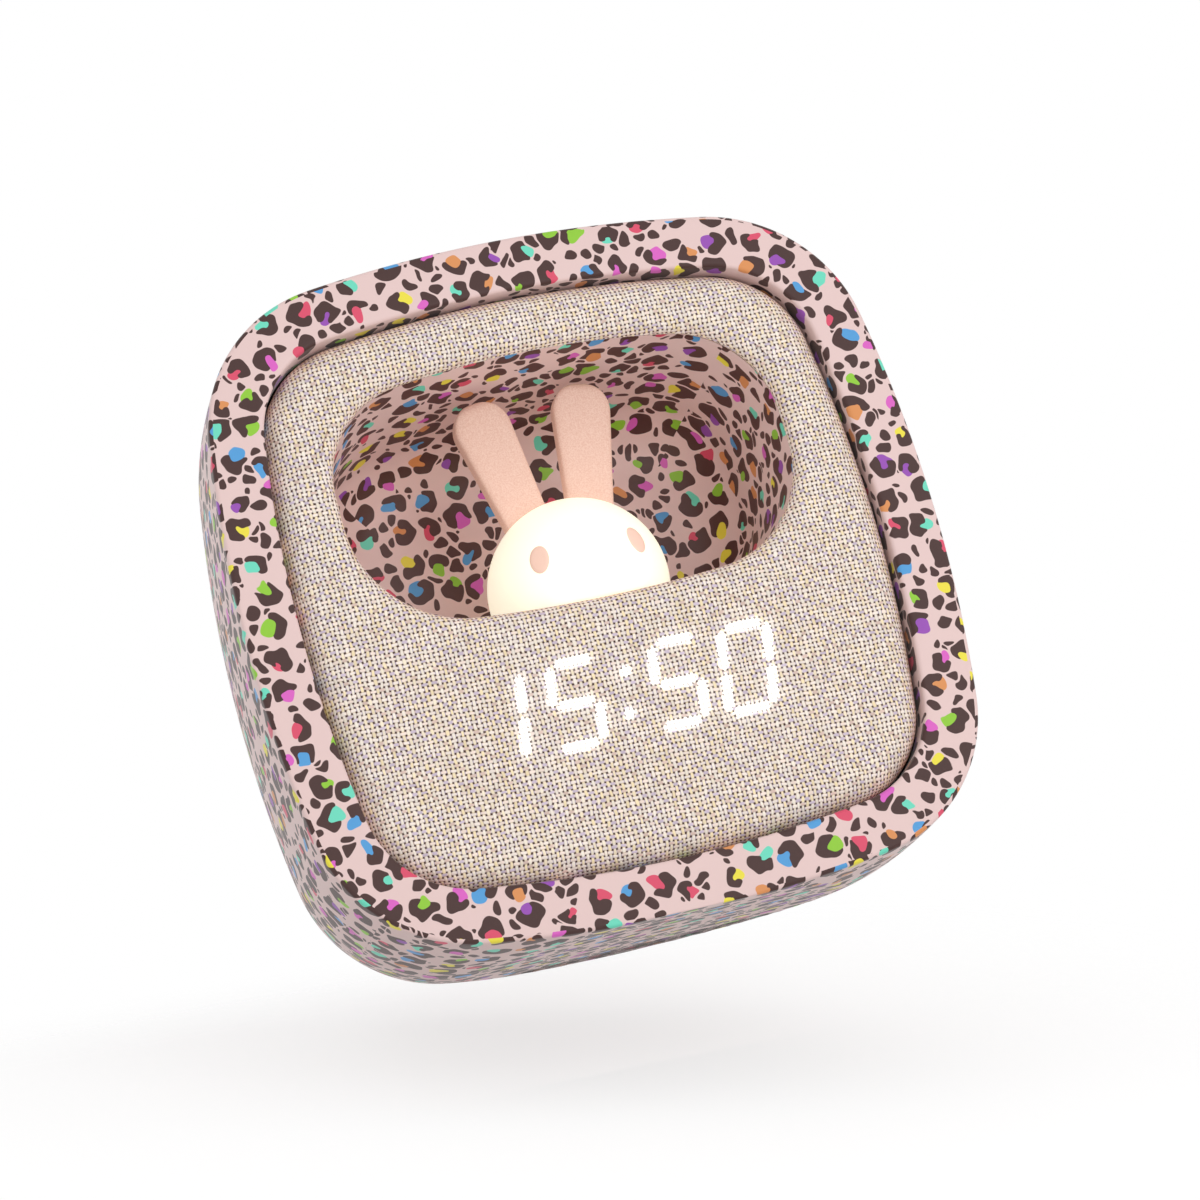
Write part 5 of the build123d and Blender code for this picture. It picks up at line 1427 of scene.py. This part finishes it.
FRAME_PARTS = ("inner_shell", "front_panel", "lamp_reflector", "battery_cradle")
BUTTONS = ("set_button", "minus_button", "plus_button", "alarm_button", "alarm_switch_knob")
moulded("white_moulding", "E4E1DC", 0.45, 4, *FRAME_PARTS)
moulded("back_moulding", "E0CCC8", 0.55, 3, "back_cover")
moulded("button_moulding", "EBDAD6", 0.42, 5, *BUTTONS)
moulded("black_moulding", "1B1A1A", 0.5, 4, "display_mask", "tact_switches", "board_chips")
moulded("speaker_paper", "221F1E", 0.85, 6, "speaker_cone")
moulded("speaker_foam", "2A2828", 0.95, 8, "speaker_gasket")
moulded("cell_sleeve", "2F62A8", 0.3, 6, "battery")
moulded("wire_jacket", "B32420", 0.4, 4, "battery_leads", "speaker_leads", "lamp_leads")
moulded("ribbon_film", "DDD8CC", 0.3, 5, "display_ribbon")
moulded("board_lacquer", "1F5A38", 0.28, 9, "lamp_board", "display_board", "main_board")

# %% [markdown]
# ## Metals and lights
#
# Tin plate, magnet steel and screw steel are all bright metal. An even roughness would look like
# a mirror gone dull, so a soft noise makes the shine slightly uneven. The small lamps and the
# light guides of the digits give light of their own.

# %% Metals
UNEVEN = 0.08


def metal(name, colour, roughness, *nodes):
    """Bright metal with a slightly uneven shine, put on CAD nodes."""
    material, w, shader, _ = finish_with(name)
    noise = w.noise(w.body_place(), 1.2, 4.0)[0]
    uneven = w.spread(noise, roughness - UNEVEN, roughness + UNEVEN)
    w.fill(shader, {"Roughness": uneven, "Base Color": ink(colour), "Metallic": 1.0})
    paint_on(material, *[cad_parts[node] for node in nodes])


metal("tin_sheet", "C9CACB", 0.32, "slide_switch", "usb_socket", "speaker_frame")
metal("magnet_plating", "8F9195", 0.28, "speaker_magnet")
metal("screw_plating", "A9ABAE", 0.35, "small_screws", "lamp_screws", "cover_screws")

# %% Small lamps and light guides
for name, strength, nodes in (
    ("lamp_dice", 0.8, ("lamp_leds", "display_leds")),
    ("light_guides", 0.6, ("display_segments",)),
):
    lit_finish, w, shader = glowing(name, "F4F1E6", "FFF8E2", 0.3, strength)
    cloud = w.noise(w.body_place(), 1.0)[0]
    w.fill(shader, {"Emission Strength": w.spread(cloud, strength * 0.9, strength * 1.1)})
    paint_on(lit_finish, *[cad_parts[node] for node in nodes])

# %% [markdown]
# ## Camera
#
# The clock is seen from its lower left with a long lens, and the camera is held askew. So the
# left side and the underside show as narrow bands and the face stays nearly square. The clock
# could be tilted instead, but the part stands on its foot, and only the eye moves.

# %% Place and aim
CAMERA_PLACE = Vector((-0.1661, -0.6579, -0.0501))
CAMERA_AIM = Vector((0.00386, -0.01782, 0.04933))
CAMERA_ROLL = radians(-14.1)
CAMERA_LENS = 136.5


def looking(place, aim):
    """Matrix of a camera or lamp at a place that looks at a point."""
    place, aim = Vector(place), Vector(aim)
    return Matrix.Translation(place) @ (aim - place).to_track_quat("-Z", "Y").to_matrix().to_4x4()


camera_data = bpy.data.cameras.new("camera")
camera_data.lens = CAMERA_LENS
camera = bpy.data.objects.new("camera", camera_data)
camera.matrix_world = looking(CAMERA_PLACE, CAMERA_AIM) @ Matrix.Rotation(CAMERA_ROLL, 4, "Z")
bpy.context.collection.objects.link(camera)
bpy.context.scene.camera = camera
print("camera axes", [[round(v, 4) for v in row] for row in camera.matrix_world])

# %% [markdown]
# ## White studio
#
# The room is white for the eye, for mirror rays and for rays through clear plastic. For all other
# rays it is a plain soft light. More light could make the room white too, but then the clock
# would burn out. A large soft lamp in front gives the rounded edges a little shape, and a small
# warm one below it brightens the underside.

# %% Room and lamps
ROOM_LIGHT = 0.74
WHITE = (1, 1, 1, 1)


def seen_rays(w):
    """1 for the eye, for mirror rays and for rays through clear plastic, else 0."""
    rays = w.node("ShaderNodeLightPath")
    seen = w.larger(rays["Is Camera Ray"], rays["Is Glossy Ray"])
    return w.larger(seen, rays["Is Transmission Ray"])


def soft_lamp(name, place, aim, width, watts, tint="FFFFFF"):
    """A square soft lamp that looks at a point."""
    lamp = bpy.data.lights.new(name, "AREA")
    lamp.size = width
    lamp.energy = watts
    lamp.color = ink(tint)[:3]
    holder = bpy.data.objects.new(name, lamp)
    holder.matrix_world = looking(place, aim)
    bpy.context.collection.objects.link(holder)
    print(name, watts, "W")


world = bpy.data.worlds.new("studio")
world.use_nodes = True
w = Patterns(world.node_tree)
backdrop = world.node_tree.nodes["Background"]
w.fill(backdrop.inputs, {"Color": WHITE, "Strength": 1.0})
soft = w.node("ShaderNodeBackground", [WHITE, ROOM_LIGHT])[0]
blend = w.node("ShaderNodeMixShader", [seen_rays(w), soft, Signal(w, backdrop.outputs[0])])[0]
w.fill(world.node_tree.nodes["World Output"].inputs, {"Surface": blend})
bpy.context.scene.world = world
soft_lamp("front_lamp", (0.45, -0.9, 0.12), (0, 0, 0.05), 0.7, 2.2)
soft_lamp("low_lamp", (-0.1, -0.8, -0.25), (0, 0, 0.03), 0.5, 0.8, "FFEBE1")

# %% [markdown]
# ## Two floors
#
# The clock stands on a level floor, which shows from above and fades into the white room. The
# camera below looks up through that floor as if it were not there. For that view there is a
# second, tilted floor a little lower, and on it lies the soft shadow of a clock that seems to
# float. The level floor takes no light away from the clock. The tilted one stops a part of the
# light from below, and it fades out where it would rise past the foot of the clock.

# %% Floors
FLOOR_POINTS = 64
FADE = (0.45, 0.98)
FOOT_FADE = (0.001, 0.015)
TILTED_PLACE = (-0.0252, -0.0005, -0.0113)
TILTED_UPRIGHT = (0.171, -0.302, 0.938)


def floor_disc(name, place, upright, radius, white, lift, stops):
    """A white round floor that fades out to its edge and shows only from its upper side.

    stops is the share of the rays that light the clock from below which it holds back."""
    mesh = bpy.data.meshes.new(name)
    angles = circle(FLOOR_POINTS)
    rim = np.stack([np.cos(angles), np.sin(angles), 0 * angles], axis=-1) * radius
    mesh.from_pydata(rim.tolist(), [], [list(range(FLOOR_POINTS))])
    disc = bpy.data.objects.new(name, mesh)
    turn = Vector(upright).to_track_quat("Z", "Y").to_matrix().to_4x4()
    disc.matrix_world = Matrix.Translation(Vector(place)) @ turn
    bpy.context.collection.objects.link(disc)
    material, w, _, surface = finish_with(name)
    seen = seen_rays(w)
    out = w.vector("LENGTH", w.node("ShaderNodeTexCoord")["Object"])
    geometry = w.node("ShaderNodeNewGeometry")
    height = w.parts(geometry["Position"])[2]
    shown = 1.0 - w.step(out, radius * FADE[0], radius * FADE[1])
    shown = shown * (1.0 - geometry["Backfacing"]) * w.spread(seen, stops, 1.0)
    shown = shown * (1.0 - w.step(height, *FOOT_FADE))
    matte = w.node("ShaderNodeBsdfDiffuse", [(white, white, white, 1)])[0]
    lifted = w.node("ShaderNodeEmission", [WHITE, seen * lift])[0]
    both = w.node("ShaderNodeAddShader", [matte, lifted])[0]
    clear = w.node("ShaderNodeBsdfTransparent")[0]
    w.tree.links.new(w.node("ShaderNodeMixShader", [shown, clear, both])[0].socket, surface)
    paint_on(material, disc)


floor_disc("level_floor", (0, 0, 0), (0, 0, 1), 0.45, white=0.6, lift=0.56, stops=0.0)
floor_disc("tilted_floor", TILTED_PLACE, TILTED_UPRIGHT, 0.2, white=0.45, lift=0.64, stops=0.6)

# %% Finish
bpy.context.scene.view_settings.view_transform = "Standard"
